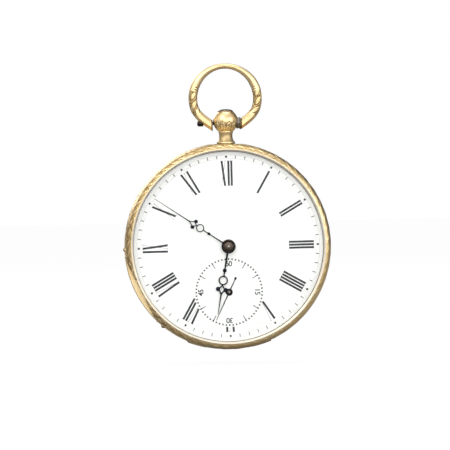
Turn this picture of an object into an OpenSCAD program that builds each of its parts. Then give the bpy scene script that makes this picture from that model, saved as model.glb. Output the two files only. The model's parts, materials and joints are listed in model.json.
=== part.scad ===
// Open-faced key-wound fob watch. The dial faces -Y, twelve o'clock and the bow point along +Z, and
// three o'clock along +X. The origin is on the axis of the hands, on the flat of the back cover.
// Every piece is drawn lying on its back, with the dial upwards, and upright() stands it up.

/* [Case] */
// Radius of the case at the widest line of its middle
case_r = 21; // [20.9:0.05:21.1]
// Rear face of the case middle, where the back cover and the cuvette shut
band_back = 2.2; // [2.15:0.05:2.25]
// Front face of the case middle, where the bezel shuts
band_front = 8; // [7.95:0.05:8.05]
// Thickness of the back cover's skin
skin_t = 0.45; // [0.4:0.05:0.5]
// Height of the middle of the crystal above the back
glass_top = 11.4; // [11.3:0.1:11.8]

/* [Pendant and bow] */
// Height of the middle of the pendant's ball above the middle of the dial
ball_y = 25.5; // [25.4:0.1:25.6]
// Radius of the ball
ball_r = 2.53; // [2.4:0.05:2.55]
// Height of the bow's pivots above the middle of the dial
pivot_y = 25.1; // [25:0.1:25.2]
// Height of the middle of the bow's ring
bow_y = 29.95; // [29.5:0.05:30.2]
// Radius of the bow along the middle of its wire
bow_r = 6.7; // [6.5:0.1:6.9]
// Radius of the bow's wire round the ring
bow_wire = 0.7; // [0.6:0.05:0.75]
// Radius of the bow's arms beside the ball
arm_wire = 0.85; // [0.8:0.05:0.9]

/* [Dial and hands] */
// Radius of the enamel dial
dial_r = 19.3; // [19.2:0.05:19.3]
// Thickness of the enamel dial
dial_t = 0.7; // [0.6:0.05:0.7]
// Direction of the minute hand, in degrees clockwise from twelve
minute_angle = 304; // [0:1:360]
// Direction of the hour hand, in degrees clockwise from twelve
hour_angle = 190; // [0:1:360]
// Direction of the seconds hand, in degrees clockwise from twelve
seconds_angle = 206; // [0:1:360]
// Length of the minute hand from its centre
minute_reach = 17.9; // [17:0.1:18]
// Length of the hour hand from its centre
hour_reach = 14; // [13:0.1:14.5]
// Length of the seconds hand from its centre
seconds_reach = 6.3; // [5.8:0.1:6.5]

/* [Hinges] */
// Distance of both hinge lines from the axis of the hands
hinge_u = 19.3; // [19.25:0.05:19.35]
// Radius of the hinge knuckles
knuckle_r = 0.6; // [0.55:0.05:0.6]
// Radius of the hinge pins
pin_r = 0.25; // [0.2:0.05:0.25]
// Half the length of the bezel's hinge
bezel_half = 7.4; // [7:0.1:7.5]
// Half the length of the back's hinge
back_half = 7.8; // [7.4:0.1:7.9]
// Direction of the bezel's hinge, in degrees clockwise from twelve
bezel_hinge_angle = 244.5; // [240:0.5:250]

/* [Movement] */
// Thickness of the main plate
plate_t = 1; // [0.9:0.1:1]
// Radius of the main plate
plate_r = 18.55; // [18.4:0.05:18.55]
// Thickness of the bars that carry the rear pivots
bar_t = 0.9; // [0.8:0.1:0.9]
// Radius of the balance rim
balance_r = 6.4; // [6:0.1:6.4]

/* [Hidden] */
$fn = 64;
far = 30;        // longer than anything that is cut away
gap = 0.05;      // running clearance at pivots and hinges
fit = 0.02;      // clearance of a piece that sits still in its seat
hinge_front = band_front - 0.7;   // level of the bezel's hinge line
straight_u = hinge_u + knuckle_r + gap; // where the outline is cut straight along a hinge
pocket_u = hinge_u - knuckle_r - 3 * gap;
plate_back = 6.3;
plate_front = plate_back + plate_t;
bar_back = 2.9;
bar_front = bar_back + bar_t;
dial_back = 8.2;
dial_front = dial_back + dial_t;
mid_z = 5;       // level of the pendant and the bow
back_clock = 180;      // direction of the back's hinge, clockwise from twelve
pendant_seat = 20.7;   // flat on the band that the pendant stands on
pendant_root_r = 1.48; // spigot of the pendant, inside the band
stem_r = 0.6;          // stem of the push piece
stem_bore = 0.75;
ball_top = 27.5;
push_cap_r = 1.55;
pivot_hole = 0.4;      // bore for the bow's pivots
bow_head_r = 0.6;      // head of the bow's screw
bow_head_x = -4.6;     // where the screw's head bears on the bow
bow_pin_x = 4.4;       // outer end of the bow's pin
bow_ends = [-2.85, 3.1]; // flat ends of the bow's arms
collar_x = [2.6, 3.05];
glass_edge_r = 19.67;
crystal_groove_r = 19.72;

// Wheel work: tooth counts, modules and the places of the arbors, seen from the dial
barrel_teeth = 80;
barrel_m = 0.2;
centre_leaves = 10;
centre_teeth = 64;
centre_m = 0.16;
third_leaves = 8;
third_teeth = 60;
third_m = 0.14;
fourth_leaves = 8;
fourth_teeth = 60;
fourth_m = 0.12;
escape_leaves = 6;
cannon_leaves = 12;
minute_teeth = 36;
motion_m = 0.16;
minute_leaves = 10;
hour_teeth = 40;
function mesh_distance(a, b, m) = (a + b) * m / 2;
function polar(r, angle) = r * [cos(angle), sin(angle)];
function bearing(from, to) = atan2(to.y - from.y, to.x - from.x);
motion_distance = mesh_distance(cannon_leaves, minute_teeth, motion_m);
hour_m = 2 * motion_distance / (minute_leaves + hour_teeth);
fourth_at = [0, -9.3];
barrel_angle = 60;
barrel_at = polar(mesh_distance(barrel_teeth, centre_leaves, barrel_m), barrel_angle);
centre_reach = mesh_distance(centre_teeth, third_leaves, centre_m);
third_reach = mesh_distance(third_teeth, fourth_leaves, third_m);
// The third arbor stands where both meshes reach: a triangle from the centre and the fourth arbor
third_y = (centre_reach^2 - third_reach^2 + fourth_at.y^2) / (2 * fourth_at.y);
third_at = [sqrt(centre_reach^2 - third_y^2), third_y];
escape_at = fourth_at + polar(mesh_distance(fourth_teeth, escape_leaves, fourth_m), 146.4);
balance_at = escape_at + [-4, 0];
minute_at = polar(motion_distance, 20);
stud_angle = 133.2; // direction from the balance to the foot of its cock

// Levels of the wheels, counted from the back
centre_wheel_z = [4, 4.2];
fourth_wheel_z = [4.4, 4.6];
third_wheel_z = [5, 5.2];
barrel_z = [4.35, 6.2];
barrel_teeth_z = [5.4, 5.9];
escape_wheel_z = [5.6, 5.9];
balance_z = [3, 3.5];
cock_z = [1.75, 2.6];
spring_z = [2.68, 2.88];
ratchet_z = [2.2, 2.8];
cannon_z = [7.4, 7.62];
hour_wheel_z = [7.75, 7.95];
seconds_z = [8.98, 9.1];
hour_z = [9.15, 9.35];
minute_z = [9.55, 9.75];

// Feet and screws of the bars
barrel_feet = [barrel_at + polar(9.9, barrel_angle + 90), barrel_at + polar(9.9, barrel_angle - 90)];
centre_foot = [-10.5, 2.5];
third_foot = [11.5, -7];
fourth_foot = [8.2, -13.2];
escape_foot = [-4.2, -12.6];
cock_foot = balance_at + polar(9.1, stud_angle);
bar_feet = [each barrel_feet, centre_foot, third_foot, fourth_foot];
dial_feet = [for (angle = [30, 150, 270]) polar(15.5, angle)];
case_screw_at = [polar(17.4, -8), polar(17.4, 172)];
screw_r = 0.35;
foot_r = 1.4;
jewel_r = 0.6;
pivot_r = 0.1;
jewel_t = 0.5;
centre_arbor_r = 0.45;
third_arbor_r = 0.26;
fourth_arbor_r = 0.24;
escape_arbor_r = 0.17;
staff_r = 0.22;        // balance staff, where its wheel and collet sit
cannon_r = 0.38;
setting_arbor_r = 0.25;
post_r = 0.3;          // post of the minute wheel
click_post_r = 0.25;
barrel_pivot_r = 0.7;
barrel_collar_r = 1;   // part of the barrel's arbor that turns in its bar
drum_r = 7.6;
drum_wall = 0.4;
core_r = 1.6;
stud_r = 3.3;          // distance of the hairspring's stud from the balance staff

// Ratchet and click: the nose stands where the click's arm touches the ratchet's root circle
ratchet_teeth = 24;
ratchet_root = 2.2;
ratchet_tip = 2.6;
click_pivot_r = 4.3;
click_pivot_angle = 138;
click_arm = sqrt(click_pivot_r^2 - ratchet_root^2);
click_nose_angle = click_pivot_angle + acos(ratchet_root / click_pivot_r);
click_at = barrel_at + polar(click_pivot_r, click_pivot_angle);

// ---- Drawing aids ----

// Stands a watch that lies on its back upright, with the dial towards -Y
module upright() {
    rotate([90, 0, 0]) children();
}

// Moves a piece to a place on the plate
module at(place) {
    translate([place.x, place.y, 0]) children();
}

// A flat piece between two levels
module layer(levels) {
    translate([0, 0, levels[0]]) linear_extrude(levels[1] - levels[0]) children();
}

// A round piece between two levels
module rod(r, levels) {
    translate([0, 0, levels[0]]) cylinder(r = r, h = levels[1] - levels[0]);
}

// A round hole between two levels, a little longer than the wall it goes through
module hole(r, levels) {
    over = 0.1;
    translate([0, 0, levels[0] - over]) cylinder(r = r, h = levels[1] - levels[0] + 2 * over);
}

module ring(r_out, r_in, levels) {
    difference() {
        rod(r_out, levels);
        hole(r_in, levels);
    }
}

// A bar outline with round ends
module bar(from, to, width) {
    translate(from) circle(d = width);
    translate(to) circle(d = width);
    translate(from) rotate(bearing(from, to)) translate([0, -width / 2]) square([norm(to - from), width]);
}

// Toothed outline: each tooth narrows from its root to its tip, and tooth 0 points along +X
module teeth(count, m, tip, root, share) {
    pitch = 360 / count;
    rise = count * m / 2 + tip * m;
    base = count * m / 2 - root * m;
    half = share * pitch / 2;
    polygon([for (i = [0 : count - 1]) for (corner = [
        [base, -half], [count * m / 2, -half], [rise, -0.4 * half],
        [rise, 0.4 * half], [count * m / 2, half], [base, half],
    ]) polar(corner[0], i * pitch + corner[1])]);
}

// A wheel outline turned so that a tooth points to its mate, with spokes
module wheel(count, m, towards, hub, spokes) {
    rim = count * m / 2 - 4.2 * m;
    difference() {
        rotate(towards) teeth(count, m, 1, 1.3, 0.42);
        circle(r = rim);
    }
    difference() {
        union() {
            circle(r = hub + 0.5);
            for (i = [0 : spokes - 1]) rotate(i * 360 / spokes)
                translate([0, -2 * m]) square([rim + m, 4 * m]);
        }
        circle(r = hub);
    }
}

// A pinion outline turned so that a space faces its mate
module pinion(count, m, towards) {
    rotate(towards + 180 / count) teeth(count, m, 0.45, 1.5, 0.36);
}

// Turns a hinge drawn along X at its distance from the middle to its place; the hinge line is along Y
module on_hinge(clock_angle, level) {
    rotate(90 - clock_angle) translate([hinge_u, 0, level]) children();
}

// Knuckles along the hinge line between pairs of places
module knuckles(spans) {
    for (span = spans) translate([0, span[0], 0]) rotate([-90, 0, 0])
        cylinder(r = knuckle_r, h = span[1] - span[0]);
}

// Blocks that join knuckles to their leaf: across gives [from, to] outwards, and rise [from, to] in level
module webs(spans, across, rise) {
    for (span = spans) translate([across[0], span[0], rise[0]])
        cube([across[1] - across[0], span[1] - span[0], rise[1] - rise[0]]);
}

module pin_bore(half) {
    translate([0, -half - 1, 0]) rotate([-90, 0, 0]) cylinder(r = pin_r + gap, h = 2 * half + 2);
}

// Spans of a hinge's knuckles, from one end to the other: each width, with a gap between them
function spans_from(widths, half, i = 0, start = 0) =
    i == len(widths) ? [] : [
        [start - half, start - half + widths[i]],
        each spans_from(widths, half, i + 1, start + widths[i] + gap),
    ];
function width_unit(half, units) = (2 * half - (units[1] - 1) * gap) / units[0];
bezel_unit = width_unit(bezel_half, [5, 5]);
bezel_spans = spans_from([for (i = [1 : 5]) bezel_unit], bezel_half);
back_unit = width_unit(back_half, [6, 5]);
back_spans = spans_from([back_unit, back_unit, 2 * back_unit, back_unit, back_unit], back_half);

// Quarter of an ellipse from the flat of a dish up to its wall
function dish_edge(r0, z0, reach, rise, steps) =
    [for (i = [0 : steps]) [r0 + reach * sin(90 * i / steps), z0 + rise * (1 - cos(90 * i / steps))]];

// ---- Case ----

module case_band() {
    inner_r = 19.6;
    ledge_r = 17.9;
    belly_mid = (band_front + band_back) / 2;
    belly_half = (band_front - band_back) / 2;
    belly = [for (i = [0 : 8]) let (a = -60 + 15 * i)
        [case_r - 0.6 * (1 - cos(a)), belly_mid + belly_half * sin(a) / sin(60)]];
    spans = [bezel_spans[0], bezel_spans[2], bezel_spans[4]];
    rear_spans = [back_spans[0], back_spans[4]];
    color("goldenrod") upright() difference() {
        union() {
            difference() {
                rotate_extrude($fn = 180) polygon([
                    [ledge_r, band_back], each belly,
                    [plate_r + gap, band_front], [plate_r + gap, plate_back],
                    [ledge_r, plate_back], [ledge_r, plate_back - 0.5],
                    [inner_r, plate_back - 0.8], [inner_r, band_back + 0.9], [ledge_r, band_back + 0.6],
                ]);
                on_hinge(bezel_hinge_angle, hinge_front) hinge_pocket(bezel_half, 1);
                on_hinge(bezel_hinge_angle, hinge_front) side_notch(bezel_half);
                on_hinge(back_clock, band_back) hinge_pocket(back_half, -1);
            }
            on_hinge(bezel_hinge_angle, hinge_front) {
                knuckles(spans);
                webs(spans, [-0.5, 0.6], [-1, 0]);
            }
            on_hinge(back_clock, band_back) {
                knuckles(rear_spans);
                webs(rear_spans, [-0.5, 0.6], [0, 1]);
            }
        }
        on_hinge(bezel_hinge_angle, hinge_front) pin_bore(bezel_half);
        on_hinge(back_clock, band_back) pin_bore(back_half);
        translate([0, inner_r - 1, mid_z]) rotate([-90, 0, 0]) cylinder(r = pendant_root_r + fit, h = 3);
        translate([0, pendant_seat, mid_z]) rotate([-90, 0, 0]) cylinder(r = 1.95 + fit, h = 3);
    }
}

// Room for the knuckles and for the leaf that turns past them; side is 1 in front and -1 behind
module hinge_pocket(half, side) {
    depth = knuckle_r + 0.06;
    translate([pocket_u - hinge_u, -half - gap, side > 0 ? -depth : depth - far])
        cube([far, 2 * (half + gap), far]);
}

// Room at the ends of the bezel's hinge for the small arc of bezel outside the hinge line
module side_notch(half) {
    translate([-0.1, -half - 0.7, -0.3]) cube([far, 2 * (half + 0.7), far]);
}

module bezel() {
    lip_r = 19.45;
    seat = band_front + fit;
    spans = [bezel_spans[1], bezel_spans[3]];
    color("gold") upright() difference() {
        union() {
            difference() {
                rotate_extrude($fn = 180) polygon([
                    [lip_r, seat], [20.78, seat], [20.9, 8.5], [20.84, 9], [20.62, 9.5], [20.3, 9.95],
                    [19.95, 10.3], [19.7, 10.4], [19.55, 10.38], [19.55, 10.2], [crystal_groove_r, 10.2],
                    [crystal_groove_r, 9.75], [lip_r, 9.75],
                ]);
                rotate(90 - bezel_hinge_angle) translate([straight_u, -far / 2, 0]) cube([far, far, far]);
            }
            on_hinge(bezel_hinge_angle, hinge_front) {
                knuckles(spans);
                webs(spans, [-0.2, 0.6], [0.1, 0.85]);
            }
        }
        on_hinge(bezel_hinge_angle, hinge_front) pin_bore(bezel_half);
    }
}

module glass() {
    steps = 10;
    top_r = 19.4;
    color("lightcyan", 0.4) upright() rotate_extrude($fn = 180) polygon([
        each [for (i = [0 : steps]) let (r = glass_edge_r * i / steps)
            [r, glass_top - 0.6 - (r / glass_edge_r)^2]],
        [glass_edge_r, 10.12],
        each [for (i = [0 : steps]) let (r = top_r * (1 - i / steps))
            [r, glass_top - 1.28 * (r / top_r)^2]],
    ]);
}

module back_cover() {
    flat_r = 13;
    wall_r = 18.8;
    rim = band_back - gap;
    spans = [back_spans[1], back_spans[3]];
    color("gold") upright() difference() {
        union() {
            difference() {
                rotate_extrude($fn = 180) polygon([
                    [0, 0], each dish_edge(flat_r, 0, 7.6, 1.9, 8), [20.6, rim], [wall_r, rim],
                    each [for (p = [8 : -1 : 0]) dish_edge(flat_r - 1, skin_t, 6.8, 1.05, 8)[p]],
                    [0, skin_t],
                ]);
                rotate(-90) translate([straight_u, -far / 2, -1]) cube([far, far, far]);
                on_hinge(back_clock, band_back - knuckle_r - gap)
                    translate([pocket_u - hinge_u, -back_half - gap, 0])
                        cube([far, 2 * (back_half + gap), far]);
            }
            on_hinge(back_clock, band_back) {
                knuckles(spans);
                webs(spans, [-0.4, 0.6], [-0.9, 0]);
            }
        }
        on_hinge(back_clock, band_back) pin_bore(back_half);
    }
}

module cuvette() {
    rim = band_back - gap;
    keyhole_r = 1.1;
    span = [back_spans[2]];
    color("gold") upright() difference() {
        union() {
            difference() {
                rotate_extrude($fn = 180) polygon([
                    [0, 1], [16.6, 1], [18.5, 1.7], [18.5, rim],
                    [18, rim], [18, 1.78], [16.4, 1.35], [0, 1.35],
                ]);
                at(barrel_at) hole(keyhole_r, [1, 1.35]);
                hole(keyhole_r, [1, 1.35]);
            }
            on_hinge(back_clock, band_back) {
                knuckles(span);
                webs(span, [-1.1, -0.1], [-0.55, -gap]);
            }
        }
        on_hinge(back_clock, band_back) pin_bore(back_half);
    }
}

module hinge_pin(clock_angle, level, half) {
    color("darkgoldenrod") upright() on_hinge(clock_angle, level)
        translate([0, -half, 0]) rotate([-90, 0, 0]) cylinder(r = pin_r, h = 2 * half);
}

module bezel_hinge_pin() {
    hinge_pin(bezel_hinge_angle, hinge_front, bezel_half);
}

module back_hinge_pin() {
    hinge_pin(back_clock, band_back, back_half);
}

// ---- Pendant and bow ----

// Turns a piece drawn around Z so that it stands on the pendant's axis
module on_pendant() {
    translate([0, 0, mid_z]) rotate([-90, 0, 0]) children();
}

// A rod along the bow's pivot line
module on_pivots(from, to, r) {
    translate([from, pivot_y, mid_z]) rotate([0, 90, 0]) cylinder(r = r, h = to - from);
}

module pendant() {
    neck_r = 1.41;
    neck_y = 23.4;
    recess_floor = 26.7;
    ball_start = asin((neck_y - ball_y) / ball_r);
    ball_end = asin((ball_top - ball_y) / ball_r);
    recess_r = 1.62;
    root_end = 19.65;
    blind_end = 1.15;
    color("gold") upright() difference() {
        on_pendant() rotate_extrude() polygon([
            [stem_bore, root_end], [pendant_root_r, root_end], [pendant_root_r, pendant_seat],
            [1.95, pendant_seat], [1.9, 21.1], [1.6, 21.5], [neck_r, 22], [neck_r, neck_y],
            each [for (i = [0 : 10]) let (a = ball_start + (ball_end - ball_start) * i / 10)
                [ball_r * cos(a), ball_y + ball_r * sin(a)]],
            [recess_r, ball_top], [recess_r, recess_floor], [stem_bore, recess_floor],
        ]);
        on_pivots(-ball_r - 1, -blind_end, pivot_hole);
        on_pivots(blind_end, ball_r + 1, pivot_hole);
    }
}

module push_piece() {
    color("silver") upright() on_pendant() {
        rod(stem_r, [18.95, 27.3]);
        rod(push_cap_r, [27.25, 28]);
    }
}

module lock_spring() {
    half_angle = 34;
    color("steelblue") upright() {
        intersection() {
            ring(18.3, 18.05, [3.2, 5.6]);
            translate([0, 0, 3]) linear_extrude(3)
                polygon([[0, 0], polar(far, 90 - half_angle), polar(far, 90 + half_angle)]);
        }
        translate([-0.9, 17.9, 3.7]) cube([1.8, 0.5, 1.9]);
    }
}

module bow() {
    leave = 15;  // how far the arms begin below the level of the ring's middle
    color("gold") upright() difference() {
        translate([0, bow_y, mid_z]) {
            rotate(-leave) rotate_extrude(angle = 180 + 2 * leave) translate([bow_r, 0]) circle(r = bow_wire);
            bow_arm(leave);
            mirror([1, 0, 0]) bow_arm(leave);
        }
        translate([bow_ends[0], pivot_y - 4, mid_z - 4]) cube([bow_ends[1] - bow_ends[0], 6, 8]);
        on_pivots(bow_head_x - 1, bow_pin_x + gap, pivot_hole);
        on_pivots(bow_head_x - 4, bow_head_x + gap, bow_head_r + gap);
    }
}

// The right arm turns in more tightly than the ring and then runs straight towards the ball
module bow_arm(leave) {
    bend_r = 3.5;
    turn = 42;
    lap = 5;
    straight = 3.4;
    translate(concat(polar(bow_r - bend_r, -leave), 0)) rotate(-leave - turn) {
        rotate_extrude(angle = turn + lap) translate([bend_r, 0]) circle(r = arm_wire);
        translate([bend_r, 0, 0]) rotate([90, 0, 0]) cylinder(r = arm_wire, h = straight);
    }
}

module bow_screw() {
    head_t = 1.2;
    color("dimgray") upright() {
        on_pivots(bow_head_x - 0.1, -1.2, pivot_hole - gap);
        difference() {
            on_pivots(bow_head_x - head_t, bow_head_x, bow_head_r);
            translate([bow_head_x - head_t - 1, pivot_y - 0.12, mid_z - 1]) cube([1.3, 0.24, 2]);
        }
    }
}

module bow_pin() {
    color("dimgray") upright() on_pivots(1.2, bow_pin_x, pivot_hole - gap);
}

module bow_collar() {
    color("slategray") upright() difference() {
        on_pivots(collar_x[0], collar_x[1], 1.3);
        on_pivots(collar_x[0] - 1, collar_x[1] + 1, pivot_hole);
    }
}

module case_screws() {
    color("steelblue") upright() for (place = case_screw_at) at(place)
        screw(0.9, [5.3, 5.78], plate_back + 0.6);
}

// A screw with a slotted head at its rear end, and its shank up to the tip
module screw(head_r, head, tip) {
    difference() {
        rod(head_r, head);
        translate([-head_r, -0.1, head[0] - 0.1]) cube([2 * head_r, 0.2, 0.25]);
    }
    rod(screw_r, [head[1], tip]);
}

// ---- Dial and hands ----

module dial() {
    color("white") upright() difference() {
        union() {
            rod(dial_r, [dial_back, dial_front], $fn = 180);
            for (foot = dial_feet) at(foot) rod(screw_r, [plate_back + 0.3, dial_back]);
        }
        hole(0.9, [dial_back, dial_front]);
        at(fourth_at) hole(0.3, [dial_back, dial_front]);
    }
}

// Outline of a ring, with the moon's open middle, at a distance along the hand
module loop(y, r, line) {
    translate([0, y]) difference() {
        circle(r = r);
        circle(r = r - line);
    }
}

// A hand with a bead, an open moon, an open fleuron between two lobes, and a long needle, along +Y
module fleur_hand(hub_r, eye_r, bead_y, moon_y, moon_r, line, fleur, lobe, reach) {
    root_half = 0.28;
    waist_half = 0.16;
    tip_half = 0.06;
    lap = 0.1;
    difference() {
        union() {
            circle(r = hub_r);
            polygon([
                [-root_half, lap], [root_half, lap], [waist_half, bead_y + lap], [-waist_half, bead_y + lap],
            ]);
            translate([0, bead_y]) circle(r = 1.8 * waist_half);
            translate([0.02 - waist_half, bead_y])
                square([2 * waist_half - 0.04, moon_y - moon_r - bead_y + line / 2]);
            loop(moon_y, moon_r, line);
            translate([-waist_half, moon_y + moon_r - line / 2])
                square([2 * waist_half, fleur[0] - moon_y - moon_r + line]);
            difference() {
                fleuron(fleur, lobe[0]);
                fleuron([fleur[0] + 2 * line, fleur[1] - 3 * line], lobe[0] - 1.5 * line);
            }
            for (side = [-1, 1]) translate([side * lobe[0], lobe[1]]) circle(r = lobe[2]);
            polygon([
                [-0.17, fleur[1] - 2 * line], [0.17, fleur[1] - 2 * line],
                [tip_half, reach], [-tip_half, reach],
            ]);
        }
        circle(r = eye_r);
    }
}

// A diamond along the hand, with its widest point below its middle
module fleuron(ends, half) {
    wide_y = ends[0] + 0.45 * (ends[1] - ends[0]);
    polygon([[0, ends[0]], [half, wide_y], [0, ends[1]], [-half, wide_y]]);
}

module hour_hand() {
    color("midnightblue") upright() rotate(-hour_angle) layer(hour_z)
        fleur_hand(1.25, 0.6, 4.95, 7, 0.96, 0.22, [8.05, 9.9], [0.79, 8.9, 0.37], hour_reach);
}

module minute_hand() {
    color("midnightblue") upright() rotate(-minute_angle) layer(minute_z)
        fleur_hand(1, cannon_r, 4.74, 6.87, 0.82, 0.18, [7.7, 9.4], [0.69, 8.28, 0.31], minute_reach);
}

// A cap over the end of the cannon pinion
module minute_hand_boss() {
    cap_r = 1.45;
    rise = 0.55;
    bore = 0.4;
    bore_top = minute_z[1] + 0.15;
    color("dimgray") upright() rotate_extrude() polygon([
        [0, bore_top], [bore, bore_top], [bore, minute_z[1]],
        each [for (i = [0 : 8]) [cap_r * cos(90 * i / 8), minute_z[1] + rise * sin(90 * i / 8)]],
    ]);
}

module seconds_hand() {
    boss_r = 0.72;
    tail = 3.2;
    color("midnightblue") upright() at(fourth_at) rotate(-seconds_angle) layer(seconds_z) difference() {
        union() {
            circle(r = boss_r);
            polygon([
                [-0.05, seconds_reach], [-0.15, 0], [-0.1, 0.2 - tail],
                [0.1, 0.2 - tail], [0.15, 0], [0.05, seconds_reach],
            ]);
            translate([0, 0.22 - tail]) circle(r = 0.25);
        }
        circle(r = 0.12);
    }
}

// ---- Plate, bars and cocks ----

module main_plate() {
    deck = [plate_back, plate_front];
    color("goldenrod") upright() {
        difference() {
            union() {
                rod(plate_r, deck, $fn = 180);
                ring(plate_r, plate_r - 0.65, [plate_front - 0.1, dial_back]);
            }
            hole(centre_arbor_r + gap, deck);
            at(barrel_at) hole(barrel_pivot_r + gap, deck);
            for (place = [third_at, fourth_at, escape_at, balance_at]) at(place) hole(jewel_r + fit, deck);
            for (place = [each bar_feet, escape_foot, cock_foot, each case_screw_at, each dial_feet])
                at(place) hole(screw_r + fit, deck);
        }
        at(minute_at) rod(post_r, [plate_front - 0.1, dial_back - 0.05]);
    }
}

// A bar with a foot on the plate, drawn by its outline
module footed(feet, r) {
    layer([bar_back, bar_front]) children();
    for (foot = feet) at(foot) rod(r, [bar_front - 0.1, plate_back]);
}

module foot_holes(feet, head_level) {
    for (foot = feet) at(foot) hole(screw_r + gap, [head_level, plate_back]);
}

module barrel_bar() {
    color("goldenrod") upright() difference() {
        footed(barrel_feet, foot_r) bar(barrel_feet[0], barrel_feet[1], 4.4);
        foot_holes(barrel_feet, bar_back);
        at(barrel_at) hole(barrel_collar_r + gap, [bar_back, bar_front]);
        at(click_at) hole(click_post_r + fit, [bar_back, bar_front]);
    }
}

module centre_bar() {
    color("goldenrod") upright() difference() {
        footed([centre_foot], foot_r) bar([0, 0], centre_foot, 3);
        foot_holes([centre_foot], bar_back);
        hole(centre_arbor_r + gap, [bar_back, bar_front]);
    }
}

// A bar with one jewelled bearing and one foot
module jewelled_bar(bearing_at, foot, width) {
    color("goldenrod") upright() difference() {
        footed([foot], foot_r) {
            bar(bearing_at, foot, width);
            translate(foot) circle(r = foot_r + 0.1);
        }
        foot_holes([foot], bar_back);
        at(bearing_at) hole(jewel_r + fit, [bar_back, bar_front]);
    }
}

module third_bar() {
    jewelled_bar(third_at, third_foot, 2.4);
}

module fourth_bar() {
    jewelled_bar(fourth_at, fourth_foot, 2);
}

// The cock that carries the escape wheel, under the balance
module escape_cock() {
    levels = [3.7, 4.2];
    color("goldenrod") upright() difference() {
        union() {
            layer(levels) bar(escape_at, escape_foot, 2);
            at(escape_foot) rod(1.1, [levels[0], plate_back]);
        }
        at(escape_foot) hole(screw_r + gap, [levels[0], plate_back]);
        at(escape_foot) hole(0.6, [levels[0] - 0.2, levels[0] + 0.2]);
        at(escape_at) hole(jewel_r + fit, levels);
    }
}

// The cock over the balance, with a round table for the regulator
module balance_cock() {
    foot = 1.6;
    table_r = 2.2;
    color("gold") upright() difference() {
        union() {
            layer(cock_z) {
                bar(balance_at, cock_foot, 2 * foot);
                translate(balance_at) circle(r = table_r);
            }
            at(cock_foot) rod(foot, [cock_z[1] - 0.1, plate_back]);
        }
        at(cock_foot) hole(screw_r + gap, [cock_z[0], plate_back]);
        at(balance_at) hole(jewel_r + fit, cock_z);
        at(balance_at + polar(stud_r, stud_angle)) hole(0.25, [cock_z[1] - 0.3, cock_z[1]]);
    }
}

module bar_screws() {
    color("steelblue") upright() for (place = bar_feet) at(place)
        screw(0.85, [bar_back - 0.5, bar_back], plate_front - 0.2);
}

module cock_screws() {
    color("steelblue") upright() {
        at(cock_foot) screw(0.85, [cock_z[0] - 0.3, cock_z[0]], plate_front - 0.2);
        at(escape_foot) screw(0.55, [3.72, 4], plate_front - 0.2);
    }
}

// A pierced ruby
module jewel(levels) {
    ring(jewel_r, pivot_r + 0.04, levels);
}

module train_jewels() {
    color("crimson") upright() {
        for (place = [third_at, fourth_at]) at(place) jewel([bar_front - jewel_t, bar_front]);
        for (place = [third_at, fourth_at, escape_at]) at(place) jewel([plate_back, plate_back + jewel_t]);
        at(escape_at) jewel([3.8, 4.2]);
    }
}

module balance_jewels() {
    color("crimson") upright() at(balance_at) {
        jewel([cock_z[0] + 0.1, cock_z[0] + 0.45]);
        jewel([plate_back, plate_back + jewel_t]);
    }
}

// ---- Mainspring barrel, ratchet and click ----

module barrel() {
    floor_t = 0.15;
    color("goldenrod") upright() at(barrel_at) difference() {
        union() {
            rod(drum_r, barrel_z);
            layer(barrel_teeth_z) rotate(barrel_angle + 180) teeth(barrel_teeth, barrel_m, 1, 1.3, 0.42);
        }
        rod(drum_r - drum_wall, [barrel_z[0] - 1, barrel_z[1] - floor_t]);
        hole(barrel_pivot_r + gap, barrel_z);
    }
}

module barrel_cover() {
    color("goldenrod") upright() at(barrel_at)
        ring(drum_r - drum_wall - fit, 0.9 + gap, [barrel_z[0], barrel_z[0] + 0.15]);
}

// A flat spiral strip: inner and outer edge points, then back again
module spiral(r_from, r_to, turns, thick, steps) {
    last = turns * steps;
    function place(i, side) =
        polar(r_from + (r_to - r_from) * i / last + side * thick / 2, i * 360 / steps);
    polygon([each [for (i = [0 : last]) place(i, -1)], each [for (i = [last : -1 : 0]) place(i, 1)]]);
}

module mainspring() {
    color("slategray") upright() at(barrel_at) layer([4.65, 5.95])
        spiral(core_r + 0.2, drum_r - drum_wall - 0.15, 9, 0.14, 24);
}

module barrel_arbor() {
    square_side = 1.3;
    color("silver") upright() at(barrel_at) {
        translate([-square_side / 2, -square_side / 2, 1.5]) cube([square_side, square_side, 1.4]);
        rod(barrel_collar_r, [2.85, 3.85]);
        rod(0.9, [3.8, 4.6]);
        rod(core_r, [4.6, 5.95]);
        rod(barrel_pivot_r, [5.9, plate_front - 0.1]);
    }
}

module ratchet_wheel() {
    pitch = 360 / ratchet_teeth;
    side = 1.32;
    color("silver") upright() at(barrel_at) layer(ratchet_z) difference() {
        rotate(click_nose_angle) scale([1, -1]) polygon([for (i = [0 : ratchet_teeth - 1]) each [
            polar(ratchet_root, i * pitch), polar(ratchet_tip, (i + 0.98) * pitch)]]);
        translate([-side / 2, -side / 2]) square(side);
    }
}

module click() {
    nose_clear = 0.06;
    depth = ratchet_tip - ratchet_root;
    color("silver") upright() at(barrel_at) rotate(click_nose_angle) layer([2.25, 2.75]) difference() {
        union() {
            polygon([
                [ratchet_root + nose_clear, -0.04], [ratchet_root + depth + nose_clear, -0.56],
                [ratchet_tip + 0.1, -1.6], [ratchet_tip - 0.1, -click_arm], [ratchet_tip + 0.7, -click_arm],
                [ratchet_tip + 0.6, 0.1], [ratchet_root + depth, -0.04],
            ]);
            translate([ratchet_root, -click_arm]) circle(r = 0.7);
        }
        translate([ratchet_root, -click_arm]) circle(r = click_post_r + gap);
    }
}

module click_screw() {
    color("steelblue") upright() at(click_at) {
        rod(0.55, [1.95, 2.2]);
        rod(click_post_r, [2.15, bar_front - 0.1]);
    }
}

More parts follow.
